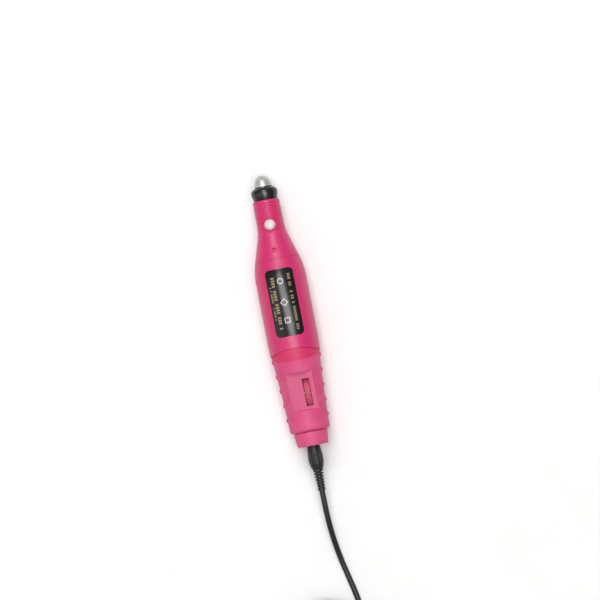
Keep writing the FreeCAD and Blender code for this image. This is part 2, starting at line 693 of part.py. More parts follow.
def nose_surface(station):
    """The radius of the nose housing at a station of its ringed grip, as an expression."""
    if size(station) <= size("nose_waist"):
        share = f"({station} - nose_front) / (nose_waist - nose_front)"
        return f"nose_radius + (nose_waist_radius - nose_radius) * {share}"
    fall = f"sqrt(nose_flare_radius ^ 2 - ({station} - nose_waist) ^ 2)"
    return f"nose_waist_radius + nose_flare_radius - {fall}"


# Nose housing: the slim ringed grip and the cone that widens to the barrel. It holds both bearings.
def nose_housing():
    body = turned([
        ("nose_spigot_bore", "nose_spigot_front"),
        ("collar_inner_radius - running_gap", "nose_spigot_front"),
        ("collar_inner_radius - running_gap", "nose_front"),
        ("nose_front_radius", "nose_front", "nose_edge_radius", 1),
        ("nose_radius", "nose_front + nose_edge_radius"),
        ("nose_waist_radius", "nose_waist", "nose_flare_radius", -1),
        ("nose_cone_radius", "nose_cone_at"),
        ("nose_end_radius", "nose_end"),
        ("nose_rear_spigot_radius", "nose_end"),
        ("nose_rear_spigot_radius", "nose_rear_spigot_end"),
        ("nose_cavity_radius", "nose_rear_spigot_end"),
        ("nose_cavity_radius", "nose_cavity_at"),
        ("nose_throat_radius", "nose_throat_at"),
        ("bearing_outer_radius", "nose_throat_at"),
        ("bearing_outer_radius", "front_bearing_at"),
        ("nose_spigot_bore", "front_bearing_at"),
    ])
    rings = []
    for i in range(RING_COUNT):
        station = f"(ring_first + {i} * ring_pitch)"
        ring = doc.addObject("Part::Torus", "Ring")
        ring.setExpression("Radius1", bound(f"{nose_surface(station)} + ring_tool_radius - ring_depth"))
        ring.setExpression("Radius2", bound("ring_tool_radius"))
        move(ring, 0, 0, station)
        rings.append(ring)
    recess = cylinder("recess_radius", "barrel_radius", 0, "recess_floor", "button_at", "y")
    hole = cylinder("button_hole_radius", "barrel_radius", 0, "lock_pin_tip", "button_at", "y")
    dimple = doc.addObject("Part::Ellipsoid", "Dimple")
    dimple.setExpression("Radius1", bound("dimple_half_length"))
    dimple.setExpression("Radius2", bound("dimple_half_width"))
    dimple.setExpression("Radius3", bound("dimple_depth"))
    move(dimple, 0, "dimple_surface", "dimple_at")
    keep("nose_housing", cut(cut(cut(cut(body, *rings), recess), hole), dimple), PEN)


# Spindle lock: pressing the button pushes its pin into a lock hole, and the spring lifts it again.
def spindle_lock():
    place = upright("button_at")
    keep("lock_button", turned([
        ("lock_pin_radius", "button_flange_bottom"),
        ("button_flange_radius", "button_flange_bottom"),
        ("button_flange_radius", "button_flange_top"),
        ("button_radius", "button_flange_top"),
        ("button_radius", "button_edge", "button_crown_radius", 1),
        ("button_flat_radius", "button_top"),
        (0, "button_top"),
        (0, "button_flange_top + running_gap"),
        ("lock_pin_radius", "button_flange_top + running_gap"),
    ]), place)
    keep("lock_pin", cylinder("lock_pin_radius", "button_flange_top - lock_pin_tip + running_gap"),
         place * FreeCAD.Placement(at(0, 0, "lock_pin_tip"), FreeCAD.Rotation()))
    guide = cut(
        box("guide_width", "guide_length", "guide_top - guide_bottom",
            "-guide_width / 2", "-guide_length / 2", "guide_bottom"),
        cylinder("lock_hole_radius", "button_top"))
    keep("lock_guide", guide, place)
    spring_wire = Part.makeHelix(size("spring_pitch"), size("spring_pitch") * SPRING_TURNS, size("spring_radius"))
    section = Part.makeCircle(size("spring_wire_radius"), at("spring_radius", 0, 0), Y_AXIS)
    spring = doc.addObject("Part::Feature", "Spring")
    spring.Shape = Part.Wire(spring_wire).makePipeShell([Part.Wire(section)], True, True)
    keep("lock_spring", spring, place * FreeCAD.Placement(
        at(0, 0, "guide_top + spring_wire_radius + running_gap / 5"), FreeCAD.Rotation()))


# Shaft coupling: a soft sleeve that joins the motor shaft to the spindle.
def shaft_coupling():
    keep("shaft_coupling", turned([
        ("spindle_tail_radius", "coupling_front"), ("coupling_radius", "coupling_front"),
        ("coupling_radius", "coupling_end"), ("motor_shaft_radius", "coupling_end"),
        ("motor_shaft_radius", "coupling_step"), ("spindle_tail_radius", "coupling_step"),
    ]), PEN)


# Motor: a brushed motor with two magnets and a three-pole armature.
def motor():
    inner = "motor_radius - motor_wall"
    keep("motor_can", turned([
        ("bush_radius", "motor_boss_front"), ("motor_boss_radius", "motor_boss_front"),
        ("motor_boss_radius", "motor_front"), ("motor_radius", "motor_front"),
        ("motor_radius", "motor_rear"), (inner, "motor_rear"),
        (inner, "motor_front + motor_front_wall"), ("bush_radius", "motor_front + motor_front_wall"),
    ]), PEN)
    keep("motor_bushes", group(
        bush("motor_boss_front", "motor_front + motor_front_wall"),
        bush("motor_rear + running_gap", "bell_boss_end")), PEN)
    ring = cut(
        cylinder("motor_radius - motor_wall - running_gap", "magnet_length", 0, 0, "magnet_front"),
        cylinder("magnet_inner_radius", "magnet_length", 0, 0, "magnet_front"),
        box("magnet_gap", "2 * motor_radius", "magnet_length",
            "-magnet_gap / 2", "-motor_radius", "magnet_front"))
    keep("motor_magnets", ring, PEN)
    keep("motor_end_bell", turned([
        ("bush_radius", "motor_rear + running_gap"), ("bell_radius", "motor_rear + running_gap"),
        ("bell_radius", "bell_end"), ("bell_boss_radius", "bell_end"),
        ("bell_boss_radius", "bell_boss_end"), ("bush_radius", "bell_boss_end"),
    ]), PEN)
    keep("motor_shaft", cylinder("motor_shaft_radius", "motor_shaft_end - motor_shaft_front"),
         PEN * FreeCAD.Placement(at(0, 0, "motor_shaft_front"), FreeCAD.Rotation()))
    core_tools = [cylinder("motor_shaft_radius", "core_length", 0, 0, "core_front")]
    copper = []
    for i in range(3):
        slot = cylinder("slot_radius", "core_length", "slot_circle", 0, "core_front")
        mouth = box("core_radius", "slot_mouth", "core_length",
                    "slot_circle", "-slot_mouth / 2", "core_front")
        core_tools += [turn(slot, 120 * i), turn(mouth, 120 * i)]
        strand = cylinder("coil_radius", "core_length + 4 * winding_gap",
                          "slot_circle", 0, "core_front - 2 * winding_gap")
        copper.append(turn(strand, 120 * i))
    keep("armature_core", cut(cylinder("core_radius", "core_length", 0, 0, "core_front"), *core_tools), PEN)
    for start in ("core_front - end_turn_length - winding_gap", "core_front + core_length + winding_gap"):
        copper.append(cut(
            cylinder("end_turn_outer", "end_turn_length", 0, 0, start),
            cylinder("end_turn_inner", "end_turn_length", 0, 0, start)))
    keep("armature_windings", fuse(*copper), PEN)
    saws = []
    for i in range(3):
        saw = box("commutator_radius", "collet_slot_width", "commutator_length",
                  "commutator_saw_from", "-collet_slot_width / 2", "commutator_front")
        saws.append(turn(saw, 60 + 120 * i))
    keep("commutator", cut(
        cylinder("commutator_radius", "commutator_length", 0, 0, "commutator_front"),
        cylinder("motor_shaft_radius", "commutator_length", 0, 0, "commutator_front"), *saws), PEN)
    brushes, terminals = [], []
    for angle in (0, 180):
        front = "commutator_front + brush_setback"
        carbon = box("brush_depth", "brush_width", "commutator_length / 2",
                     "commutator_radius + running_gap", "-brush_width / 2", front)
        leaf = box("brush_leaf", "brush_width", f"motor_rear - ({front})",
                   "commutator_radius + running_gap + brush_depth", "-brush_width / 2", front)
        brushes.append(turn(fuse(carbon, leaf), angle))
        tab = box("brush_leaf", "brush_width", "terminal_end - bell_end",
                  "terminal_offset", "-brush_width / 2", "bell_end")
        terminals.append(turn(tab, angle))
    keep("motor_brushes", group(*brushes), PEN)
    keep("motor_terminals", group(*terminals), PEN)


def bush(start, end):
    bore = "motor_shaft_radius + running_gap"
    return turned([(bore, start), ("bush_radius", start), ("bush_radius", end), (bore, end)])


def arch(gap):
    """An upright cylinder whose front is the arched seam between barrel and rear cover."""
    return cylinder("arch_radius", "4 * barrel_radius",
                    0, "-2 * barrel_radius", f"arch_apex + {gap} + arch_radius", "y")


# Main barrel: holds the motor, and its thin rear spigot reaches into the translucent cover.
def main_barrel():
    sleeve = turned([
        ("barrel_front_bore", "barrel_front"),
        ("barrel_front_radius", "barrel_front", "barrel_shoulder_radius", 1),
        ("barrel_radius", "barrel_shoulder_end"),
        ("barrel_radius", "barrel_taper_at"),
        ("barrel_end_radius", "barrel_end"),
        ("motor_bore_radius", "barrel_end"),
        ("motor_bore_radius", "motor_front - running_gap"),
        ("barrel_ledge_radius", "motor_front - running_gap"),
        ("barrel_ledge_radius", "barrel_front_bore_end"),
        ("barrel_front_bore", "barrel_front_bore_end"),
    ])
    spigot = turned([
        ("barrel_spigot_bore", "barrel_spigot_at"), ("barrel_spigot_radius", "barrel_spigot_at"),
        ("barrel_spigot_radius", "barrel_spigot_end"), ("barrel_spigot_bore", "barrel_spigot_end"),
    ])
    keep("main_barrel", fuse(cut(sleeve, arch(0)), spigot), PEN)


# Rating label: a thin rounded sheet wrapped on top of the barrel.
def rating_label():
    drop = "sqrt(barrel_shoulder_radius ^ 2 - (barrel_shoulder_end - label_front) ^ 2)"
    start = f"barrel_radius - barrel_shoulder_radius + {drop}"
    sheet_ring = turned([
        (start, "label_front", "barrel_shoulder_radius", 1),
        ("barrel_radius", "barrel_shoulder_end"),
        ("barrel_radius", "label_rear"),
        ("barrel_radius + label_thickness", "label_rear"),
        ("barrel_radius + label_thickness", "barrel_shoulder_end",
         "barrel_shoulder_radius + label_thickness", -1),
        (f"{start} + label_thickness", "label_front"),
    ])
    slab = [
        box("label_width - 2 * label_corner", "2 * barrel_radius", "label_rear - label_front",
            "label_corner - label_width / 2", 0, "label_front"),
        box("label_width", "2 * barrel_radius", "label_rear - label_front - 2 * label_corner",
            "-label_width / 2", 0, "label_front + label_corner"),
    ]
    for side in (-1, 1):
        for station in ("label_front + label_corner", "label_rear - label_corner"):
            slab.append(cylinder("label_corner", "2 * barrel_radius",
                                 f"{side} * (label_width / 2 - label_corner)", 0, station, "y"))
    keep("rating_label", common(sheet_ring, fuse(*slab)), PEN)


def cover_form():
    """The rear cover's outside, as a solid."""
    return turned([
        (0, "cover_front"),
        ("cover_front_radius", "cover_front", "cover_arc_radius", -1),
        ("cover_end_radius", "cover_end_at", "cover_edge_radius", 1),
        ("cover_face_radius", "cover_end"),
        (0, "cover_end"),
    ])


def cover_hollow():
    """The rear cover's inside, as a solid."""
    return turned([
        (0, "cover_front - cut_margin"),
        ("cover_socket_radius", "cover_front - cut_margin"),
        ("cover_socket_radius", "cover_socket_end"),
        ("cover_inner_front", "cover_socket_end", "cover_arc_radius", -1),
        ("cover_inner_rear", "cover_inner_end"),
        ("cover_neck_radius", "cover_inner_end"),
        ("cover_neck_radius", "cover_end + cut_margin"),
        (0, "cover_end + cut_margin"),
    ])


def panel_box(margin, bottom, top):
    """A box square to the sloping panel: margin wider all round, between two heights above its face."""
    piece = doc.addObject("Part::Box", "Panel")
    for side, text in (
        ("Length", f"panel_width + 2 * {margin}"),
        ("Width", f"{top} - {bottom}"),
        ("Height", f"panel_length + 2 * {margin}"),
    ):
        piece.setExpression(side, bound(text))
    corner = at(f"-panel_width / 2 - {margin}", bottom, f"-panel_length / 2 - {margin}")
    piece.Placement = on_panel() * FreeCAD.Placement(corner, FreeCAD.Rotation())
    return piece


def on_panel():
    """The frame of the sloping panel, with its origin in the middle of its face."""
    slope = FreeCAD.Rotation(X_AXIS, -size("panel_tilt"))
    return FreeCAD.Placement(at(0, "panel_height", "panel_middle"), slope.inverted())


def dial_slot(extra):
    """The slot over the dial, through the panel."""
    piece = doc.addObject("Part::Box", "Slot")
    for side, text in (
        ("Length", f"slot_width + 2 * {extra}"),
        ("Width", "4 * tray_wall + 4 * panel_plate"),
        ("Height", f"slot_length + 2 * {extra}"),
    ):
        piece.setExpression(side, bound(text))
    corner = at(f"dial_offset - slot_width / 2 - {extra}", "-2 * tray_wall - 2 * panel_plate",
                f"slot_middle - slot_length / 2 - {extra}")
    piece.Placement = on_panel() * FreeCAD.Placement(corner, FreeCAD.Rotation())
    return piece


def cover_radius(station):
    """The radius of the cover's outside at a station, along its chord."""
    share = (size(station) - size("cover_front")) / (size("cover_end_at") - size("cover_front"))
    chord = size("cover_front_radius") + share * (size("cover_end_radius") - size("cover_front_radius"))
    length = size("cover_end_at") - size("cover_front")
    return chord - share * (1 - share) * length**2 / (2 * size("cover_arc_radius"))


def grip_bumps(side_of_parting):
    """The half bumps along both edges of one shell."""
    bumps = []
    for i in range(BUMP_COUNT):
        station = f"bump_first + {i} * bump_pitch"
        offset = f"{cover_radius(station):.4f} - bump_inset"
        low = "0" if side_of_parting > 0 else "-bump_half_height"
        for side in (-1, 1):
            bumps.append(cylinder("bump_radius", "bump_half_height",
                                  f"{side} * ({offset})", low, station, "y"))
    return [cut(fuse(*bumps), cover_hollow())]


def half_space(side_of_parting):
    """All that lies on the other side of the parting plane, to be cut away."""
    low = "-4 * barrel_radius" if side_of_parting > 0 else "0"
    return box("8 * barrel_radius", "4 * barrel_radius", "cover_end",
               "-4 * barrel_radius", low, "cover_front - cut_margin")


def in_form(*pieces):
    return common(fuse(*pieces) if len(pieces) > 1 else pieces[0], cover_form())


# Rear cover: two translucent shells. The upper one carries the sunken panel over the speed dial.
def rear_covers():
    for name, side in (("rear_cover_upper", 1), ("rear_cover_lower", -1)):
        behind = "arch_radius + arch_apex + seam_gap"
        shell = cut(cover_form(), cover_hollow())
        rest = box("4 * barrel_radius", "4 * barrel_radius", "cover_end",
                   "-2 * barrel_radius", "-2 * barrel_radius", behind)
        shell = common(shell, fuse(arch("seam_gap"), rest))
        additions = grip_bumps(side)
        holes = []
        for station in ("screw_front_at", "screw_rear_at"):
            if side > 0:
                post = cylinder("post_radius", "boss_top + barrel_radius",
                                "screw_offset", "-boss_top + seam_gap", station, "y")
                additions.append(in_form(post))
                holes.append(cylinder("screw_radius", "boss_top + screw_top + seam_gap",
                                      "screw_offset", "-boss_top", station, "y"))
            else:
                boss = cylinder("boss_radius", "barrel_radius - boss_top",
                                "screw_offset", "-barrel_radius", station, "y")
                additions.append(in_form(boss))
                holes.append(cylinder("screw_radius + running_gap", "barrel_radius",
                                      "screw_offset", "-barrel_radius", station, "y"))
                floor = f"{screw_seat(station):.4f}"
                holes.append(cylinder("screw_head_radius + running_gap", "barrel_radius", "screw_offset",
                                      f"{floor} - barrel_radius", station, "y"))
        shell = cut(shell, half_space(side))
        if side > 0:
            tray_bottom = "-panel_plate - tray_wall"
            additions.append(in_form(panel_box("tray_wall", tray_bottom, "barrel_radius")))
            holes.append(panel_box("0", "-panel_plate", "barrel_radius"))
            holes.append(dial_slot("running_gap"))
        keep(name, cut(fuse(shell, *additions), *holes), PEN)


def screw_seat(station):
    """The height of a screw head's underside, one head below the lower shell's outside."""
    surface = math.sqrt((cover_radius(station)) ** 2 - size("screw_offset + screw_head_radius") ** 2)
    return -surface + size("screw_head_height")


def cover_screws():
    screws = []
    for station in ("screw_front_at", "screw_rear_at"):
        seat = f"{screw_seat(station):.4f}"
        crown = f"{seat} - screw_head_height"
        head = cylinder("screw_head_radius", "screw_head_height", "screw_offset", crown, station, "y")
        shank = cylinder("screw_radius", f"screw_top - ({seat})", "screw_offset", seat, station, "y")
        driver = [
            box("cross_length", "cross_depth", "cross_width",
                "screw_offset - cross_length / 2", crown, f"{station} - cross_width / 2"),
            box("cross_width", "cross_depth", "cross_length",
                "screw_offset - cross_width / 2", crown, f"{station} - cross_length / 2"),
        ]
        screws.append(cut(fuse(head, shank), *driver))
    keep("cover_screws", group(*screws), PEN)


# Panel plate: the pale inlay round the slot.
def panel_plate():
    keep("panel_plate", cut(panel_box("-running_gap", "-panel_plate", "0"), dial_slot("0")), PEN)


# Speed dial: a knurled thumbwheel on the shaft of a small potentiometer.
def speed_dial():
    left = "dial_offset - dial_width / 2"
    place = PEN * FreeCAD.Placement(at(0, "dial_height", "dial_at"), FreeCAD.Rotation())
    notches = [cylinder("dial_shaft_radius", "dial_width", left, 0, 0, "x")]
    for i in range(NOTCH_COUNT):
        angle = math.radians(360 / NOTCH_COUNT * i)
        up, back = f"dial_radius * {math.cos(angle):.6f}", f"dial_radius * {math.sin(angle):.6f}"
        notches.append(cylinder("dial_notch_radius", "dial_width", left, up, back, "x"))
    keep("speed_dial", cut(cylinder("dial_radius", "dial_width", left, 0, 0, "x"), *notches), place)
    keep("dial_shaft", cylinder("dial_shaft_radius", "dial_shaft_right - dial_shaft_left", 0, 0, 0, "x"),
         place * FreeCAD.Placement(at("dial_shaft_left", 0, 0), FreeCAD.Rotation()))
    housing = cut(cylinder("pot_radius", "pot_thickness", "board_face", 0, 0, "x"),
                  cylinder("dial_shaft_radius + running_gap", "pot_thickness", "board_face", 0, 0, "x"))
    keep("potentiometer", housing, place)


# Circuit board with a capacitor and a transistor that set the motor's voltage.
def circuit_board():
    keep("circuit_board", box("board_thickness", "board_top - board_bottom", "board_rear - board_front",
                              "board_face - board_thickness", "board_bottom", "board_front"), PEN)
    keep("capacitor", cylinder("capacitor_radius", "capacitor_length",
                               "board_face", 0, "capacitor_at", "x"), PEN)
    keep("transistor", box("transistor_width", "transistor_height", "transistor_length",
                           "board_face", "-transistor_height / 2", "transistor_at"), PEN)


# Leads: from the motor's terminals to the board, and from the board to the jack.
def leads():
    tube_node("motor_lead_red", [
        (7.15, 0, 97.7), (6.9, 1.2, 100.6), (3.9, 3.6, 102.6), (0, 4.6, 103.8), (-3.6, 4.4, 105.2),
        (-4.4, 4.0, 107.7),
    ], "lead_radius", PEN)
    tube_node("motor_lead_black", [
        (-7.15, 0, 97.7), (-7.3, -1.2, 100.4), (-6.3, -3.2, 102.8), (-4.9, -4.2, 105.2), (-4.4, -4.4, 107.9),
    ], "lead_radius", PEN)
    for name, side in (("supply_lead_red", 1), ("supply_lead_black", -1)):
        tube_node(name, [
            (-1.4, 3.4 * side, 141.8), (-1.7, 3.6 * side, 140.3), (-3.4, 3.6 * side, 139.2),
            (-4.4, 3.2 * side, 137.4),
        ], "lead_radius", PEN)


# Tail cap and the power jack inside it.
def tail():
    keep("tail_cap", turned([
        ("tail_pocket_radius", "tail_flange_front"), ("tail_flange_radius", "tail_flange_front"),
        ("tail_flange_radius", "tail_flange_rear"), ("tail_neck_radius", "tail_flange_rear"),
        ("tail_neck_radius", "tail_front"), ("tail_front_radius", "tail_front"),
        ("tail_end_radius", "tail_end"), ("tail_hole_radius", "tail_end"),
        ("tail_hole_radius", "tail_pocket_end"), ("tail_pocket_radius", "tail_pocket_end"),
    ]), PEN)
    keep("jack_body", turned([
        (0, "jack_front"), ("jack_radius", "jack_front"), ("jack_radius", "jack_rear"),
        ("jack_bore_radius", "jack_rear"), ("jack_bore_radius", "jack_floor"), (0, "jack_floor"),
    ]), PEN)
    keep("jack_pin", cylinder("jack_pin_radius", "jack_pin_end - jack_floor"),
         PEN * FreeCAD.Placement(at(0, 0, "jack_floor"), FreeCAD.Rotation()))


# Power plug: moulded grip, metal barrel, centre contact and ribbed strain relief.
def power_plug():
    keep("plug_grip", turned([
        ("plug_barrel_radius", "plug_front"),
        ("plug_front_radius", "plug_front", "plug_belly_arc", 1),
        ("plug_belly_radius", "plug_belly_at", "plug_tail_arc", 1),
        ("plug_tail_radius", "plug_tail_at"),
        (0, "plug_tail_at"),
        (0, "plug_barrel_end"),
        ("plug_barrel_radius", "plug_barrel_end"),
    ]), PEN)
    keep("plug_barrel", turned([
        ("plug_barrel_bore", "plug_barrel_front"), ("plug_barrel_radius", "plug_barrel_front"),
        ("plug_barrel_radius", "plug_barrel_end"), ("plug_barrel_bore", "plug_barrel_end"),
    ]), PEN)
    keep("plug_contact", turned([
        ("plug_sleeve_bore", "plug_sleeve_front"), ("plug_barrel_bore", "plug_sleeve_front"),
        ("plug_barrel_bore", "plug_barrel_end"), ("plug_sleeve_bore", "plug_barrel_end"),
    ]), PEN)
    sleeve = turned([
        (0, "plug_tail_at"), ("relief_front_radius", "plug_tail_at"), ("relief_end_radius", "relief_end"),
        (0, "relief_end"),
    ])
    grooves = []
    for i in range(RIB_COUNT):
        start = f"plug_tail_at + {i + 0.65} * rib_pitch"
        grooves.append(cut(cylinder("plug_belly_radius", "rib_gap", 0, 0, start),
                           cylinder("relief_waist_radius", "rib_gap", 0, 0, start)))
    keep("plug_strain_relief", cut(sleeve, *grooves), PEN)


# The cord's route in millimetres: from the plug down to the surface and into the coil, and from its top
# turn to the power supply.
CORD_START = [
    (0.0, -103.4, 14.5),
    (0.0, -117.0, 13.5),
    (0.7, -130.0, 7.6),
    (2.4, -143.0, 2.7),
    (5.2, -155.5, 1.7),
    (8.0, -168.0, 1.8),
    (8.8, -180.0, 2.1),
]
CORD_FINISH = [
    (3.8, -200.6, 11.7),
    (-2.2, -208.0, 11.9),
    (-7.0, -215.8, 12.4),
    (-9.7, -223.6, 12.8),
    (-10.4, -231.0, 13.0),
]


def cord():
    tube_node("cord_run", CORD_START, "cord_radius", HERE)
    tube_node("cord_end", CORD_FINISH, "cord_radius", HERE)
    coil = cut(
        cylinder("coil_outer", "coil_height", "coil_x", "coil_y", "tie_thickness"),
        cylinder("coil_inner", "coil_height", "coil_x", "coil_y", "tie_thickness"))
    keep("cord_coil", coil, HERE)
    ties = []
    for angle in (180, 45):
        band = cut(
            box("coil_outer - tie_inside + 2 * tie_thickness", "tie_width", "coil_height + 2 * tie_thickness",
                "tie_inside - tie_thickness", "-tie_width / 2", 0),
            box("coil_outer - tie_inside", "tie_width", "coil_height", "tie_inside", "-tie_width / 2",
                "tie_thickness"))
        standing = doc.addObject("Part::Compound", "Tie")
        standing.Links = [band]
        standing.Placement = FreeCAD.Placement(at("coil_x", "coil_y", 0), FreeCAD.Rotation(Z_AXIS, angle))
        ties.append(standing)
    keep("coil_ties", group(*ties), HERE)


def rounded_block(width, height, length, corner, y_rear, inset):
    """A block with rounded long edges that lies along Y, inset from the power supply's outside."""
    half, low, high, corner = f"({width}) / 2", f"{inset}", f"{height} - {inset}", f"({corner})"
    left, right = f"adapter_x - {half}", f"adapter_x + {half}"
    body = doc.addObject("PartDesign::Body", "Block")
    sketch = outline(body, "XZ_Plane", [
        (f"{left} + {corner}", low),
        (f"{right} - {corner}", low, corner, 1),
        (right, f"{low} + {corner}"),
        (right, f"{high} - {corner}", corner, 1),
        (f"{right} - {corner}", high),
        (f"{left} + {corner}", high, corner, 1),
        (left, f"{high} - {corner}"),
        (left, f"{low} + {corner}", corner, 1),
    ])
    pad = body.newObject("PartDesign::Pad", "Pad")
    pad.Profile = sketch
    pad.Reversed = True
    pad.setExpression("Length", bound(length))
    sketch.Visibility = False
    body.setExpression("Placement.Base.y", bound(y_rear))
    return body


def rounded_front(body, radius):
    """Rounds the edge of a block's face towards the cord."""
    doc.recompute()
    pad = body.Tip
    front = pad.Shape.BoundBox.YMax
    edges = [
        f"Edge{i + 1}" for i, edge in enumerate(pad.Shape.Edges)
        if edge.BoundBox.YMin > front - 1e-6
    ]
    fillet = body.newObject("PartDesign::Fillet", "Fillet")
    fillet.Base = (pad, edges)
    fillet.setExpression("Radius", bound(radius))
    return body


# Power supply: a plug-in case with two round mains pins, its strain relief, and what is inside.
def power_supply():
    rear = "adapter_front - adapter_length"
    block = rounded_block("adapter_width", "adapter_height", "adapter_length", "adapter_corner", rear, "0")
    case = cut(
        rounded_front(block, "adapter_edge"),
        rounded_block("adapter_width - 2 * adapter_wall", "adapter_height", "adapter_length - adapter_wall",
                      "adapter_corner - adapter_wall", rear, "adapter_wall"))
    keep("adapter_case", case, HERE)
    plate = rounded_block("adapter_width", "adapter_height", "adapter_plate", "adapter_corner",
                          f"{rear} - adapter_plate", "0")
    pins, sockets = [], []
    for side in (-1, 1):
        x = f"adapter_x + {side} * pin_spacing / 2"
        tip = f"{rear} - adapter_plate - pin_length"
        foot = f"{rear} - adapter_plate"
        pins.append(fuse(
            cylinder("pin_radius", "pin_length", x, tip, "adapter_height / 2", "y"),
            cylinder("pin_root_radius", "pin_root", x, foot, "adapter_height / 2", "y")))
        sockets.append(cylinder("pin_root_radius", "pin_root", x, foot, "adapter_height / 2", "y"))
        sockets.append(cylinder("pin_recess_radius", "pin_recess_depth", x, foot, "adapter_height / 2", "y"))
    keep("adapter_pin_plate", cut(plate, *sockets), HERE)
    keep("adapter_pins", group(*pins), HERE)
    relief = cone("adapter_relief_root", "adapter_relief_tip", "adapter_relief_length",
                  "adapter_x", "adapter_front", "adapter_height / 2", "y")
    keep("adapter_strain_relief", relief, HERE)
    middle = f"{rear} + adapter_length / 2"
    board = box("supply_board_width", "supply_board_length", "supply_board_thickness",
                "adapter_x - supply_board_width / 2",
                f"{middle} - supply_board_length / 2 + supply_board_shift", "supply_board_height")
    keep("adapter_board", board, HERE)
    core = box("transformer_size", "transformer_size", "transformer_height",
                "adapter_x - transformer_size / 2", f"{middle} - transformer_size / 2",
                "supply_board_height + supply_board_thickness")
    keep("adapter_transformer", core, HERE)


collet_nut()
collet()
spindle()
bearing("front", "front_bearing_at")
bearing("rear", "rear_bearing_at")
nose_collar()
nose_housing()
spindle_lock()
shaft_coupling()
motor()
main_barrel()
rating_label()
rear_covers()
cover_screws()
panel_plate()
speed_dial()
circuit_board()
leads()
tail()
power_plug()
cord()
power_supply()
doc.recompute()

for item in doc.Objects:
    if "Invalid" in item.State or "Error" in item.State:
        raise RuntimeError(f"{item.Label} ({item.Name}) failed: {item.State}")
for left, base in CUTS:
    if left.Shape.Volume > base.Shape.Volume - 1e-6:
        raise RuntimeError(f"{left.Label}: its tools cut nothing from {base.Label}")
for name, piece in KEPT.items():
    if piece.Shape.isNull() or not piece.Shape.isValid():
        raise RuntimeError(f"{name} has no valid shape")

os.makedirs("parts", exist_ok=True)
for name, piece in KEPT.items():
    piece.Shape.exportStep(os.path.join("parts", f"{name}.step"))
print(f"{len(KEPT)} pieces written")
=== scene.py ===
# %% [markdown]
# # An electric nail drill, piece by piece
# The pen lies on its back on a pale table, with its lead wound up beyond it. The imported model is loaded
# first, because every piece below takes its place from it. Lengths are written in millimetres and turned to
# metres.

# %% Load the frame
from math import asin, atan2, cos, pi, radians, sin, sqrt, tan

import bpy
from mathutils import Matrix, Vector


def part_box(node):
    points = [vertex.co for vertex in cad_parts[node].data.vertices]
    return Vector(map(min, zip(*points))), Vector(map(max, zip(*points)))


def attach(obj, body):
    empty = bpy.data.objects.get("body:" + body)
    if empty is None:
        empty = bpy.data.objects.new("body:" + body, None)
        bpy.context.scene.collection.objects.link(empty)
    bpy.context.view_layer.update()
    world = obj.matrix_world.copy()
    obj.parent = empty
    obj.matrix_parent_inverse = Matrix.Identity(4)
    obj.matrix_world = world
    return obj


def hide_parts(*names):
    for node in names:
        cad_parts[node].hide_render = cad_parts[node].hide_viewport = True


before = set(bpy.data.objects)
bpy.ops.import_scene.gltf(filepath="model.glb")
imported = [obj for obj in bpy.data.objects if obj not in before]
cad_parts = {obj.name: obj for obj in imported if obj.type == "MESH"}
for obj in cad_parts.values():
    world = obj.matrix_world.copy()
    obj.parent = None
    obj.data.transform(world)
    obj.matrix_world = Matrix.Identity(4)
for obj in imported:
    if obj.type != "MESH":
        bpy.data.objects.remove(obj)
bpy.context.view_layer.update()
bpy.ops.object.select_all(action="DESELECT")
MM = 0.001

# %% [markdown]
# ## Where things are along the pen
# A maker measures a pen from its tip. A station is that distance in millimetres, and three helpers turn it
# into a place in the frame: the pen's axis runs along Y, half a barrel above the table.

# %% Stations along the pen
TIP_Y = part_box("collet_nut")[1].y / MM
BARREL_LOW, BARREL_HIGH = (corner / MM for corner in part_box("main_barrel"))
BARREL_RADIUS = (BARREL_HIGH.x - BARREL_LOW.x) / 2
AXIS_Z = BARREL_LOW.z + BARREL_RADIUS


def on_pen(x, station, up):
    """A point in metres: x to the right, a station from the tip, and a height above the pen's axis."""
    return Vector((x, TIP_Y - station, AXIS_Z + up)) * MM


def station_of(y):
    return TIP_Y - y / MM


print(f"tip at {TIP_Y:.1f} mm, barrel radius {BARREL_RADIUS:.2f} mm, axis {AXIS_Z:.1f} mm above the table")

# %% [markdown]
# ## Camera
# A long lens from far above keeps the pen's outline straight. The camera leans a little towards the lead
# and the right, and is rolled so that the tip points up and to the left. It looks at a point beside the
# pen, which leaves the pen left of the middle with its lead running off below.

# %% Camera
LOOK_AT = Vector((8.3, 4.4, 14.5)) * MM
DISTANCE = 1.6
LEAN_BACK, LEAN_RIGHT, ROLL = radians(3), radians(2.5), radians(11)
FIELD_WIDTH = 339 * MM

away = Vector((sin(LEAN_RIGHT), -sin(LEAN_BACK), cos(LEAN_BACK) * cos(LEAN_RIGHT))).normalized()
image_up = Vector((sin(ROLL), cos(ROLL), 0))
image_right = image_up.cross(away).normalized()
image_up = away.cross(image_right)
turn = Matrix((image_right, image_up, away)).transposed()
bpy.ops.object.camera_add(location=LOOK_AT + away * DISTANCE, rotation=turn.to_euler())
camera = bpy.context.object
camera.data.sensor_width = 36
camera.data.lens = 36 * DISTANCE / FIELD_WIDTH
camera.data.clip_end = 10
bpy.context.scene.camera = camera
print(f"lens {camera.data.lens:.0f} mm")

# %% [markdown]
# ## The lead's route
# The lead is a soft cord 3.2 mm thick. It leaves the plug straight, sinks to the table, runs off and is
# wound into a coil for storage, and its last stretch enters the power supply. The coil is laid in layers
# from the table upwards: out to in, then in to out, as when a cord is wound round a hand.
#
# One smooth curve follows the route. Its thickness is given by its points, because a curve's own box
# reaches past its points by their radius, and the box of the cord is then as tight as the cord.

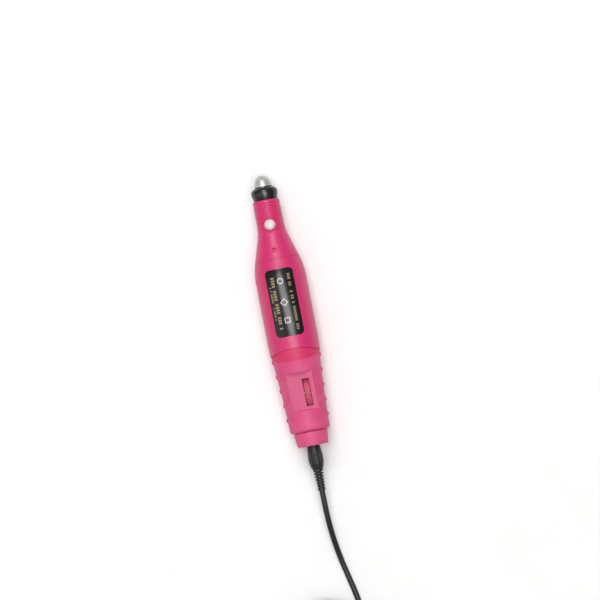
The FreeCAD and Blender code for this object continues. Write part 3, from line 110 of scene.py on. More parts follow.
# %% Route and coil
CORD_DIAMETER = 3.2
CORD_START = [
    (0.0, -103.4, 14.5),
    (0.0, -117.0, 13.5),
    (0.7, -130.0, 7.6),
    (2.4, -143.0, 2.7),
    (5.2, -155.5, 1.7),
    (8.0, -168.0, 1.8),
    (8.8, -180.0, 2.1),
]
CORD_FINISH = [
    (3.8, -200.6, 11.7),
    (-2.2, -208.0, 11.9),
    (-7.0, -215.8, 12.4),
    (-9.7, -223.6, 12.8),
    (-10.4, -231.0, 13.0),
]
coil_low, coil_high = (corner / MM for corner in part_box("cord_coil"))
COIL_MIDDLE = (coil_low + coil_high) / 2
COIL_OUTER = (coil_high.x - coil_low.x) / 2 - CORD_DIAMETER / 2
COLUMNS, LAYERS, STEPS = 3, 4, 16
SHIFT = 0.25
LEAVES_AT = 40


def eased(share):
    return share * share * (3 - 2 * share)


def coil_turns():
    """The turns of the coil, clockwise seen from above, each moving over to the next in its last quarter."""
    places = []
    for layer in range(LAYERS):
        order = range(COLUMNS) if layer % 2 == 0 else reversed(range(COLUMNS))
        places += [(column, layer) for column in order]
    places.append(places[-1])
    points = []
    last_step = round(STEPS * LEAVES_AT / 360)
    for number, (place, following) in enumerate(zip(places, places[1:] + places[-1:])):
        steps = STEPS if number < len(places) - 1 else last_step
        for step in range(steps):
            share = step / STEPS
            move = eased(max(0, (share - 1 + SHIFT) / SHIFT))
            column = place[0] + (following[0] - place[0]) * move
            layer = place[1] + (following[1] - place[1]) * move
            radius = COIL_OUTER - column * CORD_DIAMETER
            angle = -2 * pi * share
            height = coil_low.z + CORD_DIAMETER * (layer + 0.5)
            points.append((COIL_MIDDLE.x + radius * cos(angle), COIL_MIDDLE.y + radius * sin(angle), height))
    return points


turns = coil_turns()
route = CORD_START + turns + CORD_FINISH
print(f"{len(turns)} points in {COLUMNS * LAYERS} turns, coil radius {COIL_OUTER:.1f} mm at its outside")

# %% Cord
bpy.ops.curve.primitive_nurbs_path_add(location=(0, 0, 0))
lead_cord = bpy.context.object
lead_cord.name = "lead_cord"
line = lead_cord.data
line.splines.clear()
spline = line.splines.new("NURBS")
spline.points.add(len(route) - 1)
for point, place in zip(spline.points, route):
    point.co = (*(Vector(place) * MM), 1)
    point.radius = CORD_DIAMETER / 2 * MM
spline.order_u = 3
spline.use_endpoint_u = True
spline.resolution_u = 4
line.bevel_depth = 1
line.bevel_resolution = 4
line.use_fill_caps = True
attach(lead_cord, "power_lead")
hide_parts("cord_run", "cord_coil", "cord_end")

# %% [markdown]
# ## Table and light
# A long soft box behind the camera gives the pen's round back one highlight down its middle. A second one
# beyond the tip does the same for the sloping nose, and a weak one on the left lights the edges of the
# translucent covers. The sky is dim near the horizon, so that the pen's sides fall off, and the table is
# plain and pale.

# %% Table, lights and world
bpy.ops.mesh.primitive_plane_add(size=6, location=(0, 0, 0))
table = bpy.context.object
table.name = "table"


def soft_box(name, place, width, depth, power):
    """A rectangular soft box that faces the point that the camera looks at."""
    facing = (LOOK_AT - Vector(place)).to_track_quat("-Z", "Y").to_euler()
    bpy.ops.object.light_add(type="AREA", location=place, rotation=facing)
    light = bpy.context.object
    light.name = name
    light.data.shape = "RECTANGLE"
    light.data.size, light.data.size_y = width, depth
    light.data.energy = power


HORIZON, OVERHEAD = 0.1, 0.42
soft_box("key_box", LOOK_AT + away * 2.1, 0.85, 1.3, 23)
soft_box("tip_box", (0.02, 1.2, 1.6), 0.8, 0.6, 13)
soft_box("side_box", (-0.9, -0.1, 0.7), 0.4, 1.2, 1.2)
world = bpy.data.worlds.new("studio")
world.use_nodes = True
sky = world.node_tree
height = sky.nodes.new("ShaderNodeSeparateXYZ")
ramp = sky.nodes.new("ShaderNodeMapRange")
sky.links.new(sky.nodes.new("ShaderNodeTexCoord").outputs["Generated"], height.inputs[0])
sky.links.new(height.outputs["Z"], ramp.inputs["Value"])
ramp.inputs["To Min"].default_value, ramp.inputs["To Max"].default_value = HORIZON, OVERHEAD
sky.links.new(ramp.outputs[0], sky.nodes["Background"].inputs["Strength"])
sky.nodes["Background"].inputs["Color"].default_value = (1, 1, 1, 1)
bpy.context.scene.world = world
bpy.context.scene.view_settings.view_transform = "Standard"

# %% [markdown]
# ## How a finish is made
# Every finish is one Principled shader. Its colours are written as sRGB hex values, as a paint chart gives
# them, and one function makes them linear. A second function adds a node with its settings and links.

# %% Colours and nodes
def linear(code):
    """An sRGB hex colour as linear red, green, blue and alpha."""
    channels = [int(code[i:i + 2], 16) / 255 for i in (1, 3, 5)]
    return (*(c / 12.92 if c <= 0.04045 else ((c + 0.055) / 1.055) ** 2.4 for c in channels), 1)


def add(material, kind, settings, links=None):
    """Adds a node. A setting is a property or a socket's value, and a link goes from a socket to an input."""
    node = material.node_tree.nodes.new(kind)
    for name, value in settings.items():
        if isinstance(name, str) and hasattr(node, name):
            setattr(node, name, value)
        else:
            node.inputs[name].default_value = value
    for name, source in (links or {}).items():
        material.node_tree.links.new(source, node.inputs[name])
    return node


def finish(name, colour, roughness, metallic=0.0, **values):
    """A material with one plain Principled shader; values are the shader's other sockets."""
    material = bpy.data.materials.new(name)
    material.use_nodes = True
    shader = material.node_tree.nodes["Principled BSDF"]
    shader.inputs["Base Color"].default_value = linear(colour)
    shader.inputs["Roughness"].default_value = roughness
    shader.inputs["Metallic"].default_value = metallic
    for socket, value in values.items():
        shader.inputs[socket.replace("_", " ")].default_value = value
    material.diffuse_color = linear(colour)
    return material


def into(material, socket, source):
    """Links a socket into the material's shader."""
    shader = material.node_tree.nodes["Principled BSDF"]
    material.node_tree.links.new(source, shader.inputs[socket])


def place_of(material):
    return add(material, "ShaderNodeTexCoord", {}).outputs["Object"]


def grain(material, size_mm, detail, place=None):
    """Noise with patches of a size in millimetres."""
    settings = {"Scale": 1 / (size_mm * MM), "Detail": detail}
    return add(material, "ShaderNodeTexNoise", settings, {"Vector": place or place_of(material)}).outputs[0]


def mottled(material, first, second, grain_mm):
    """Colour that drifts between two hex values in patches of a size in millimetres."""
    ramp = add(material, "ShaderNodeValToRGB", {}, {"Fac": grain(material, grain_mm, 3)})
    ramp.color_ramp.elements[0].position, ramp.color_ramp.elements[1].position = 0.35, 0.65
    ramp.color_ramp.elements[0].color, ramp.color_ramp.elements[1].color = linear(first), linear(second)
    into(material, "Base Color", ramp.outputs[0])
    return ramp.outputs[0]


def textured(material, grain_mm, depth_mm, low=None, high=None):
    """Fine relief of a grain size and depth in millimetres; roughness can follow it between two values."""
    noise = grain(material, grain_mm, 4)
    bump = add(material, "ShaderNodeBump", {"Distance": depth_mm * MM, "Strength": 1}, {"Height": noise})
    into(material, "Normal", bump.outputs[0])
    if low is not None:
        spread = add(material, "ShaderNodeMapRange", {"To Min": low, "To Max": high}, {"Value": noise})
        into(material, "Roughness", spread.outputs[0])


def calc(material, operation, *values):
    """One sum on sockets and plain numbers."""
    links = {i: value for i, value in enumerate(values) if isinstance(value, bpy.types.NodeSocket)}
    numbers = {i: value for i, value in enumerate(values) if i not in links}
    return add(material, "ShaderNodeMath", {"operation": operation, **numbers}, links).outputs[0]


def pen_place(material):
    """Sockets for x, the station and the height above the pen's axis, all in millimetres."""
    parts = add(material, "ShaderNodeSeparateXYZ", {}, {0: place_of(material)}).outputs
    x, y, z = (calc(material, "DIVIDE", part, MM) for part in parts)
    return x, calc(material, "SUBTRACT", TIP_Y, y), calc(material, "SUBTRACT", z, AXIS_Z)


def blend(material, share, first, second):
    """The first colour where share is 0 and the second where it is 1; each is a hex value or a socket."""
    node = add(material, "ShaderNodeMix", {"data_type": "RGBA", "clamp_factor": True})
    material.node_tree.links.new(share, node.inputs[0])
    for slot, colour in ((6, first), (7, second)):
        if isinstance(colour, str):
            node.inputs[slot].default_value = linear(colour)
        else:
            material.node_tree.links.new(colour, node.inputs[slot])
    return node.outputs[2]


def coat(objects, material):
    """Gives whole pieces one material."""
    for piece in objects:
        piece.data.materials.clear()
        piece.data.materials.append(material)


# %% [markdown]
# ## Painted table
# A matt white board. A faint mottle keeps it from looking like paper.

# %% Table finish
white_board = finish("matt_white_board", "#F8F8F7", 0.6)
mottled(white_board, "#F9F9F8", "#F6F6F5", 40)
coat([table], white_board)

# %% [markdown]
# ## Soft black PVC
# The lead, the plug's grip and both strain reliefs are moulded in soft black PVC. The mould is lightly
# blasted, so the highlight is broad and satin.

# %% PVC finish
soft_pvc = finish("soft_black_pvc", "#17171A", 0.42, IOR=1.53)
mottled(soft_pvc, "#151518", "#1B1B1E", 3)
textured(soft_pvc, 0.25, 0.01, 0.38, 0.5)
coat([lead_cord], soft_pvc)

# %% [markdown]
# ## Turned pieces
# Most of the pen is round, so it is made as on a lathe: a single point is extruded along the outline, the
# outline is spun about the axis, and the seam is welded. Corners of real mouldings are never sharp, so the
# outline's corners are rounded first.

# %% Outline helpers
def arc_between(start, stop, radius, turning, steps=10):
    """Points of the short arc from start to stop, start included and stop left out."""
    (x1, y1), (x2, y2) = start, stop
    chord = sqrt((x2 - x1) ** 2 + (y2 - y1) ** 2)
    rise = sqrt(radius**2 - (chord / 2) ** 2) * turning
    cx = (x1 + x2) / 2 - (y2 - y1) / chord * rise
    cy = (y1 + y2) / 2 + (x2 - x1) / chord * rise
    first = atan2(y1 - cy, x1 - cx)
    sweep = 2 * asin(chord / 2 / radius) * turning
    return [(cx + radius * cos(first + sweep * i / steps), cy + radius * sin(first + sweep * i / steps))
            for i in range(steps)]


def rounded(outline, radius, steps=4, closed=False):
    """The outline with each corner of more than 20 degrees rounded, as far as its sides leave room."""
    result = []
    count = len(outline)
    for i, corner in enumerate(outline):
        if not closed and i in (0, count - 1):
            result.append(corner)
            continue
        before, here, after = (Vector(outline[j % count]) for j in (i - 1, i, i + 1))
        inwards, outwards = here - before, after - here
        bend = inwards.angle(outwards, 0)
        if bend < radians(20):
            result.append(corner)
            continue
        reach = min(radius * tan(bend / 2), 0.45 * inwards.length, 0.45 * outwards.length)
        first, last = here - inwards.normalized() * reach, here + outwards.normalized() * reach
        for step in range(steps + 1):
            share = step / steps
            result.append(tuple(first.lerp(here, share).lerp(here.lerp(last, share), share)))
    return result


# %% The lathe
def start_piece(name):
    """A new piece in edit mode, with one vertex at the origin."""
    bpy.ops.object.select_all(action="DESELECT")
    bpy.ops.mesh.primitive_plane_add(size=MM, location=(0, 0, 0))
    piece = bpy.context.object
    piece.name = piece.data.name = name
    bpy.ops.object.mode_set(mode="EDIT")
    bpy.ops.mesh.select_all(action="SELECT")
    bpy.ops.mesh.merge(type="CENTER")
    return piece


def turned(name, outline, along="Y", centre=None, steps=96, closed=False, smooth=35):
    """Spins (radius, place) points in millimetres. Along Y the places are stations from the tip. Along Z they
    are heights above centre, which lies on the pen's axis."""
    centre = centre or Vector((0, 0, AXIS_Z)) * MM
    if along == "Y":
        points = [Vector((radius, TIP_Y - place, AXIS_Z)) * MM for radius, place in outline]
    else:
        points = [centre + Vector((radius, 0, place)) * MM for radius, place in outline]
    if closed:
        points.append(points[0])
    piece = start_piece(name)
    bpy.ops.transform.translate(value=points[0])
    for here, after in zip(points, points[1:]):
        bpy.ops.mesh.extrude_vertices_move(TRANSFORM_OT_translate={"value": after - here})
    bpy.ops.mesh.select_all(action="SELECT")
    bpy.ops.mesh.spin(steps=steps, angle=2 * pi, center=centre, axis=(0, 1, 0) if along == "Y" else (0, 0, 1))
    bpy.ops.mesh.select_all(action="SELECT")
    bpy.ops.mesh.remove_doubles(threshold=0.002 * MM)
    bpy.ops.mesh.normals_make_consistent(inside=False)
    bpy.ops.object.mode_set(mode="OBJECT")
    bpy.ops.object.shade_smooth_by_angle(angle=radians(smooth))
    return piece


def carve(piece, tools, operation="DIFFERENCE", smooth=35):
    """Cuts pieces out of a piece, or joins them to it, and deletes them."""
    for tool in tools:
        step = piece.modifiers.new("carve", "BOOLEAN")
        step.operation, step.object, step.solver = operation, tool, "EXACT"
        bpy.ops.object.select_all(action="DESELECT")
        bpy.context.view_layer.objects.active = piece
        piece.select_set(True)
        bpy.ops.object.modifier_apply(modifier=step.name)
        bpy.data.objects.remove(tool)
    bpy.ops.object.shade_smooth_by_angle(angle=radians(smooth))


def stands_for(piece, body, slot, *nodes):
    """The piece rides on a body and replaces CAD nodes; the slot is not used."""
    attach(piece, body)
    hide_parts(*nodes)
    print(f"{piece.name}: {len(piece.data.polygons)} faces")


# %% [markdown]
# ## Collet nut
# The nut is turned from aluminium bar and blasted, and six scallops are milled along it so that fingers can
# grip it. Its dome narrows to a flat ring round the bit's shank.

# %% Nut
NUT_END = station_of(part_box("collet_nut")[0].y)
THREAD_RADIUS, RIM_RADIUS = 3.25, 5.1
SCALLOPS, CUTTER_RADIUS, CUTTER_AT, CUTTER_REACHES = 6, 1.5, 6.05, 5.5
nut_outline = [
    (1.5, 0.0), (1.9, 0.0), *arc_between((2.4, 0.4), (4.9, 4.7), 6.5, 1), (4.9, 4.7),
    (RIM_RADIUS, 5.3), (RIM_RADIUS, NUT_END), (THREAD_RADIUS, NUT_END), (THREAD_RADIUS, 3.3),
    (2.65, 3.3), (1.6, 0.3),
]
nut = turned("nut_shell", rounded(nut_outline, 0.18, closed=True), closed=True, steps=144)
ball_top, ball_side = (0, CUTTER_REACHES), (CUTTER_RADIUS, CUTTER_REACHES - CUTTER_RADIUS)
ball_end = [ball_top, *arc_between(ball_top, ball_side, CUTTER_RADIUS, 1, 6), ball_side,
            (CUTTER_RADIUS, -3), (0, -3)]
scallops = []
for number in range(SCALLOPS):
    angle = 2 * pi * (number + 0.5) / SCALLOPS
    scallop = turned("scallop", ball_end, steps=32)
    place = Vector((CUTTER_AT * cos(angle), 0, CUTTER_AT * sin(angle))) * MM
    scallop.data.transform(Matrix.Translation(place))
    scallops.append(scallop)
carve(nut, scallops, smooth=30)
stands_for(nut, "collet_nut", "anodised_nut", "collet_nut")

# %% [markdown]
# ## Nose collar
# A glossy black ring hides the front bearing. Its front is domed, its rim is the widest place, and it
# tapers back to the pink nose.

# %% Collar
COLLAR_BORE, COLLAR_SOCKET, COLLAR_RIM = 3.3, 5.6, 7.6
collar_outline = [
    (COLLAR_BORE, 6.8), *arc_between((4.9, 6.8), (COLLAR_RIM, 9.2), 3.0, 1), (COLLAR_RIM, 9.2),
    (COLLAR_RIM, 10.2), (6.6, 14.1), (COLLAR_SOCKET, 14.1), (COLLAR_SOCKET, 8.4), (COLLAR_BORE, 8.4),
]
collar = turned("collar_ring", rounded(collar_outline, 0.3, closed=True), closed=True)
stands_for(collar, "handpiece", "collar_black", "nose_collar")

# %% [markdown]
# ## Nose
# The nose is a pink moulding with thirteen fine grip rings, then a smooth flare and cone up to the barrel.
# The rings are real grooves in the outline. The round recess for the button, the oval dimple and the raised
# arc are cut and joined afterwards.

# %% Nose outline
RING_FIRST, RING_PITCH, RING_COUNT, RING_DEPTH, RING_HALF = 16.3, 1.3, 13, 0.22, 0.34
NOSE_FRONT, NOSE_FRONT_RADIUS = 14.2, 7.6
WAIST, WAIST_RADIUS, FLARE_RADIUS = 27.5, 7.75, 28.7
CONE_START, CONE_START_RADIUS = 36.0, 9.03
NOSE_END, NOSE_END_RADIUS = 48.4, 12.85
SMOOTH_FROM, SMOOTH_TO, SMOOTH_STEPS = 32.4, NOSE_END - 0.2, 8


def nose_radius(station):
    """The nose's outside: a slim grip, a concave flare and a cone."""
    if station <= WAIST:
        share = (station - NOSE_FRONT) / (WAIST - NOSE_FRONT)
        return NOSE_FRONT_RADIUS + (WAIST_RADIUS - NOSE_FRONT_RADIUS) * share
    if station <= CONE_START:
        return WAIST_RADIUS + FLARE_RADIUS - sqrt(FLARE_RADIUS**2 - (station - WAIST) ** 2)
    share = (station - CONE_START) / (NOSE_END - CONE_START)
    return CONE_START_RADIUS + (NOSE_END_RADIUS - CONE_START_RADIUS) * share


nose_outline = [(4.2, 8.9), (5.55, 8.9), (5.55, NOSE_FRONT), (7.0, NOSE_FRONT), (7.42, 14.35),
                (NOSE_FRONT_RADIUS, 14.8)]
for number in range(RING_COUNT):
    for step in range(-3, 4):
        share = step / 3
        station = RING_FIRST + number * RING_PITCH + share * RING_HALF
        depth = RING_DEPTH * (1 + cos(pi * share)) / 2
        nose_outline.append((nose_radius(station) - depth, station))
for number in range(1, SMOOTH_STEPS + 1):
    station = SMOOTH_FROM + (SMOOTH_TO - SMOOTH_FROM) * number / SMOOTH_STEPS
    nose_outline.append((nose_radius(station), station))
nose_outline += [(NOSE_END_RADIUS - 0.12, NOSE_END), (11.6, NOSE_END), (11.6, 53.0), (10.4, 53.0),
                 (10.4, 46.0), (7.4, 39.6), (6.5, 39.6), (6.5, 14.8), (4.2, 14.8)]
nose = turned("nose_shell", nose_outline, closed=True, steps=128, smooth=50)

# %% Recess, dimple and raised arc
BUTTON_AT = station_of((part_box("lock_button")[0].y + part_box("lock_button")[1].y) / 2)
above_button = on_pen(0, BUTTON_AT, 0)
recess_outline = [(0, 6.8), (3.35, 6.8), (3.5, 6.95), (3.5, 7.45), (3.62, 7.7), (4.1, 8.4), (0, 8.4)]
hole_outline = [(0, 2.0), (3.0, 2.0), (3.0, 7.2), (0, 7.2)]
recess = turned("recess", recess_outline, along="Z", centre=above_button, steps=64)
hole = turned("hole", hole_outline, along="Z", centre=above_button, steps=64)
bpy.ops.mesh.primitive_uv_sphere_add(segments=32, ring_count=16, radius=MM, location=(0, 0, 0))
dimple = bpy.context.object
dimple.data.transform(Matrix.Translation(on_pen(0, 42.7, 11.1)) @ Matrix.Diagonal((1.35, 0.75, 1.2, 1)))
carve(nose, [recess, hole, dimple], smooth=50)

bpy.ops.object.select_all(action="DESELECT")
bpy.ops.mesh.primitive_torus_add(major_radius=2.5 * MM, minor_radius=0.32 * MM, major_segments=64,
                                 minor_segments=12)
rib = bpy.context.object
rib.name = rib.data.name = "raised_arc"
bpy.ops.object.mode_set(mode="EDIT")
for normal in ((0.55, 1, 0), (-0.55, 1, 0)):
    bpy.ops.mesh.select_all(action="SELECT")
    bpy.ops.mesh.bisect(plane_co=(0, -1.2 * MM, 0), plane_no=normal, use_fill=True, clear_outer=True)
bpy.ops.object.mode_set(mode="OBJECT")
CONE_SLOPE = atan2(NOSE_END_RADIUS - CONE_START_RADIUS, NOSE_END - CONE_START)
rib.data.transform(Matrix.Translation(on_pen(0, 41.8, 10.9)) @ Matrix.Rotation(-CONE_SLOPE, 4, "X"))
carve(nose, [rib], "UNION", smooth=50)
stands_for(nose, "handpiece", "housing_pink", "nose_housing")

# %% [markdown]
# ## Lock button
# The off-white button has a softly domed top and a straight side that runs in its hole. Its pin is below,
# out of sight, and keeps its own node.

# %% Button
BUTTON_RADIUS, BUTTON_FLANGE = 2.9, 3.3
dome_edge, dome_top = (BUTTON_RADIUS, 7.45), (1.2, 8.0)
button_outline = [
    (0.5, 5.0), (BUTTON_FLANGE, 5.0), (BUTTON_FLANGE, 5.5), (BUTTON_RADIUS, 5.5), dome_edge,
    *arc_between(dome_edge, dome_top, 3.2, 1), dome_top, (0.6, 8.045), (0, 8.05), (0, 5.55), (0.5, 5.55),
]
button = turned("lock_cap", rounded(button_outline, 0.12, closed=True), along="Z", centre=above_button,
                closed=True, steps=64)
stands_for(button, "lock_button", "button_ivory", "lock_button")

# %% [markdown]
# ## Barrel
# The barrel is the widest moulding. Its shoulder is an arc that meets the straight part smoothly, and its
# rear edge is arched when seen from above, because an upright cylinder is cut out of it. A thin spigot
# reaches on into the translucent cover.

# %% Barrel
SHOULDER_END, SHOULDER_RADIUS, BARREL_FRONT = 60.3, 44.3125, 48.5
ARCH_RADIUS, ARCH_APEX = 36.5, 99.6
SPIGOT_RADIUS, SPIGOT_BORE, SPIGOT_REACHES = 12.3, 11.2, 107.2
barrel_outline = [
    (11.65, BARREL_FRONT), (12.75, BARREL_FRONT), (12.92, BARREL_FRONT + 0.15),
    *arc_between((12.95, BARREL_FRONT + 0.3), (BARREL_RADIUS, SHOULDER_END), SHOULDER_RADIUS, 1, 16),
    (BARREL_RADIUS, SHOULDER_END), (BARREL_RADIUS, 78.0), (BARREL_RADIUS, 96.0), (14.2, 104.5), (12.3, 104.5),
    (12.15, 104.5), (12.15, 59.0), (10.5, 59.0), (10.5, 53.2), (11.65, 53.2),
]
barrel = turned("barrel_shell", barrel_outline, closed=True, steps=128)
spigot_outline = [(SPIGOT_BORE, 94.0), (SPIGOT_RADIUS, 94.0), (SPIGOT_RADIUS, SPIGOT_REACHES - 0.2),
                  (SPIGOT_RADIUS - 0.2, SPIGOT_REACHES), (SPIGOT_BORE, SPIGOT_REACHES)]
spigot = turned("spigot", spigot_outline, closed=True, steps=128)
bpy.ops.object.select_all(action="DESELECT")
bpy.ops.mesh.primitive_cylinder_add(vertices=256, radius=ARCH_RADIUS * MM, depth=80 * MM,
                                    location=on_pen(0, ARCH_APEX + ARCH_RADIUS, 0))
bpy.ops.object.transform_apply(location=True)
arch = bpy.context.object
carve(barrel, [arch], smooth=30)
carve(barrel, [spigot], "UNION", smooth=30)
stands_for(barrel, "handpiece", "housing_pink", "main_barrel")

# %% [markdown]
# ## Pieces that keep their CAD shape
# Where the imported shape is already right, a copy of it is welded, its flat faces are merged and its edges
# are softened with a small bevel. The copy then stands for the node.

# %% Softened copies
def softened(node, name, bevel_mm):
    """A welded copy of a CAD node with small bevels on its sharp edges."""
    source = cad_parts[node]
    piece = bpy.data.objects.new(name, source.data.copy())
    piece.data.name = name
    bpy.context.scene.collection.objects.link(piece)
    bpy.ops.object.select_all(action="DESELECT")
    piece.select_set(True)
    bpy.context.view_layer.objects.active = piece
    bpy.ops.object.mode_set(mode="EDIT")
    bpy.ops.mesh.select_all(action="SELECT")
    bpy.ops.mesh.remove_doubles(threshold=0.001 * MM)
    bpy.ops.mesh.dissolve_limited(angle_limit=radians(1.5))
    bpy.ops.object.mode_set(mode="OBJECT")
    edge = piece.modifiers.new("soft_edges", "BEVEL")
    edge.width, edge.segments, edge.limit_method = bevel_mm * MM, 3, "ANGLE"
    edge.angle_limit, edge.use_clamp_overlap, edge.harden_normals = radians(40), True, False
    bpy.ops.object.modifier_apply(modifier=edge.name)
    bpy.ops.object.shade_smooth_by_angle(angle=radians(30))
    return piece


label = softened("rating_label", "label_film", 0.04)
stands_for(label, "handpiece", "label_black", "rating_label")
upper = softened("rear_cover_upper", "cover_top", 0.12)
stands_for(upper, "handpiece", "cover_translucent", "rear_cover_upper")
lower = softened("rear_cover_lower", "cover_bottom", 0.12)
stands_for(lower, "handpiece", "cover_translucent", "rear_cover_lower")
panel = softened("panel_plate", "slot_panel", 0.1)
stands_for(panel, "handpiece", "panel_pink", "panel_plate")
dial = softened("speed_dial", "dial_wheel", 0.12)
stands_for(dial, "speed_dial", "dial_pale", "speed_dial")

# %% [markdown]
# ## Tail
# The round block that closes the covers and holds the power jack. It narrows towards the cord.

# %% Tail
TAIL_END, JACK_SEAT, PLUG_HOLE = 155.2, 5.65, 3.1
tail_outline = [
    (JACK_SEAT, 143.2), (9.4, 143.2), (9.4, 145.1), (7.5, 145.1), (7.5, 147.1), (9.7, 147.1),
    (8.7, TAIL_END), (PLUG_HOLE, TAIL_END), (PLUG_HOLE, 153.7), (JACK_SEAT, 153.7),
]
tail = turned("tail_block", rounded(tail_outline, 0.7, steps=6, closed=True), closed=True)
stands_for(tail, "handpiece", "housing_pink", "tail_cap")

# %% [markdown]
# ## Plug and strain relief
# The plug's grip is a soft spindle shape that swells behind its front and narrows to the strain relief,
# whose ribs let the cord bend without breaking.

# %% Plug grip
GRIP_FRONT, GRIP_END = 155.3, 169.0
METAL_RADIUS, METAL_END = 2.75, 158.0
FLUTES, FLUTES_AT = 10, 4.4
belly = (4.2, 164.3)
grip_outline = [
    (METAL_RADIUS, GRIP_FRONT), (3.35, GRIP_FRONT), (3.58, 155.5),
    *arc_between((3.62, 155.7), belly, 48.0, 1, 8), *arc_between(belly, (2.95, 168.8), 14.0, 1, 8),
    (2.9, GRIP_END), (0, GRIP_END), (0, METAL_END), (METAL_RADIUS, METAL_END),
]
grip = turned("plug_body", grip_outline, closed=True, steps=64)
flute_outline = [(0, 158.0), (0.5, 158.4), (0.62, 161.0), (0.5, 164.4), (0, 165.0)]
flutes = []
for number in range(FLUTES):
    angle = 2 * pi * (number + 0.5) / FLUTES
    bar = turned("flute", flute_outline, steps=16)
    place = Vector((FLUTES_AT * cos(angle), 0, FLUTES_AT * sin(angle))) * MM
    bar.data.transform(Matrix.Translation(place))
    flutes.append(bar)
carve(grip, flutes, smooth=40)
stands_for(grip, "power_lead", "plug_black", "plug_grip")

# %% Ribbed strain relief
RELIEF_END, RELIEF_ROOT, RELIEF_TIP, RELIEF_WAIST = 181.0, 2.85, 2.05, 1.75
GROOVES, GROOVE_PITCH, GROOVE_WIDTH = 6, 1.7, 0.7
relief_outline = [(0, GRIP_END), (RELIEF_ROOT, GRIP_END)]
for number in range(GROOVES):
    start = GRIP_END + (number + 0.65) * GROOVE_PITCH
    wide = RELIEF_ROOT - (RELIEF_ROOT - RELIEF_TIP) * (start - GRIP_END) / (RELIEF_END - GRIP_END)
    relief_outline += [(wide, start), (RELIEF_WAIST, start + 0.08), (RELIEF_WAIST, start + 0.62),
                       (wide - 0.03, start + GROOVE_WIDTH)]
relief_outline += [(RELIEF_TIP, RELIEF_END), (0, RELIEF_END)]
relief = turned("plug_relief", rounded(relief_outline, 0.14, steps=3), steps=64)
stands_for(relief, "power_lead", "plug_black", "plug_strain_relief")

# %% [markdown]
# ## Coil ties and power supply
# Two soft bands hold the coil. The supply is a plain moulded case with generous corners, a pin plate with a
# step, and two nickel pins with rounded ends.

# %% Ties and supply
ties = softened("coil_ties", "tie_bands", 0.15)
stands_for(ties, "power_lead", "tie_grey", "coil_ties")
case, plate, pins = (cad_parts[node] for node in ("adapter_case", "adapter_pin_plate", "adapter_pins"))
sleeve = softened("adapter_strain_relief", "supply_relief", 0.3)
stands_for(sleeve, "power_lead", "plug_black", "adapter_strain_relief")

# %% [markdown]
# ## Satin and glossy ABS
# The nose and barrel are injection-moulded ABS in a pearly pink. The surface is satin under a thin gloss,
# with a very slight orange peel, and fine mica makes the colour drift. The translucent pieces have less
# gloss. The collar, the lock button and the dial are ABS too.

# %% Pink, black and ivory ABS
def pink_abs(name, dark, light, roughness, gloss):
    """Returns the material and the socket of its drifting colour."""
    material = finish(name, dark, roughness, IOR=1.5, Coat_Weight=gloss, Coat_Roughness=0.34)
    colour = mottled(material, dark, light, 0.5)
    textured(material, 0.9, 0.006)
    return material, colour


body_pink, _ = pink_abs("pearl_pink_abs", "#CC2064", "#D42A6E", 0.46, 0.35)
coat([nose, barrel], body_pink)
ivory = finish("ivory_abs", "#D6CFCD", 0.3, IOR=1.5, Coat_Weight=0.2)
mottled(ivory, "#D8D2D0", "#CEC6C5", 1.5)
coat([button], ivory)
black_abs = finish("gloss_black_abs", "#0A0A0A", 0.28, IOR=1.6)
mottled(black_abs, "#080808", "#0D0D0D", 2)
coat([collar], black_abs)
dial_abs = finish("rose_dial_abs", "#CE5470", 0.5, IOR=1.5)
mottled(dial_abs, "#CE5470", "#C04763", 1)
coat([dial], dial_abs)

# %% [markdown]
# ## Translucent covers
# The rear covers are tinted and let light through. Their first millimetres lie over the barrel's spigot and
# look redder, up to a line that curves forwards at both sides. Behind that line, soft hazy lighter bands are
# painted light: they stand in for the light that passes inside the covers.

# %% Cover finish
SPIGOT_END = 107.0


def tinted_cover(name, dark, light):
    material, colour = pink_abs(name, dark, light, 0.58, 0.08)
    x, station, up = pen_place(material)
    bow = calc(material, "MULTIPLY", calc(material, "MULTIPLY", x, x), 0.012)
    beyond = calc(material, "ADD", calc(material, "SUBTRACT", station, SPIGOT_END), bow)
    behind = calc(material, "MULTIPLY_ADD", beyond, 1.1, 0.5)
    zone = blend(material, behind, "#D22A62", colour)
    bands = add(material, "ShaderNodeMapping", {"Scale": (0.6, 1.6, 0.6)}, {"Vector": place_of(material)})
    # Painted light: soft lighter bands behind the spigot's line stand in for light passing inside the cover.
    painted_glow = grain(material, 9, 2, bands.outputs[0])
    clear = calc(material, "MINIMUM", calc(material, "MAXIMUM", behind, 0), 1)
    share = calc(material, "MULTIPLY", calc(material, "SUBTRACT", painted_glow, 0.42), clear)
    share = calc(material, "MULTIPLY", share, 1.1)
    into(material, "Base Color", blend(material, share, zone, "#E26A94"))
    return material


cover_pink = tinted_cover("translucent_pink_abs", "#D54177", "#DA4B7F")
coat([upper, lower], cover_pink)
tail_pink, _ = pink_abs("translucent_tail_abs", "#D6487A", "#DD5585", 0.58, 0.08)
coat([tail], tail_pink)
panel_abs, panel_colour = pink_abs("sunken_panel_abs", "#CE4F7B", "#D35A84", 0.62, 0.0)
x, station, up = pen_place(panel_abs)
left_of_slot = calc(panel_abs, "COMPARE", x, -1.6, 2.3)
stripe = calc(panel_abs, "COMPARE", calc(panel_abs, "FRACT", calc(panel_abs, "DIVIDE", x, 1.5)), 0.5, 0.12)
inside = calc(panel_abs, "COMPARE", station, 122.0, 7.5)
faint = calc(panel_abs, "MULTIPLY", calc(panel_abs, "MULTIPLY", stripe, inside), left_of_slot)
faint = calc(panel_abs, "MULTIPLY", faint, 0.35)
into(panel_abs, "Base Color", blend(panel_abs, faint, panel_colour, "#C94A76"))
coat([panel], panel_abs)

# %% [markdown]
# ## Printed film label
# The label is a gloss black film. Its print is made of plain marks: three columns of small gold bars, which
# run along the pen, and three pale signs down the middle, a ring, a diamond and a square.

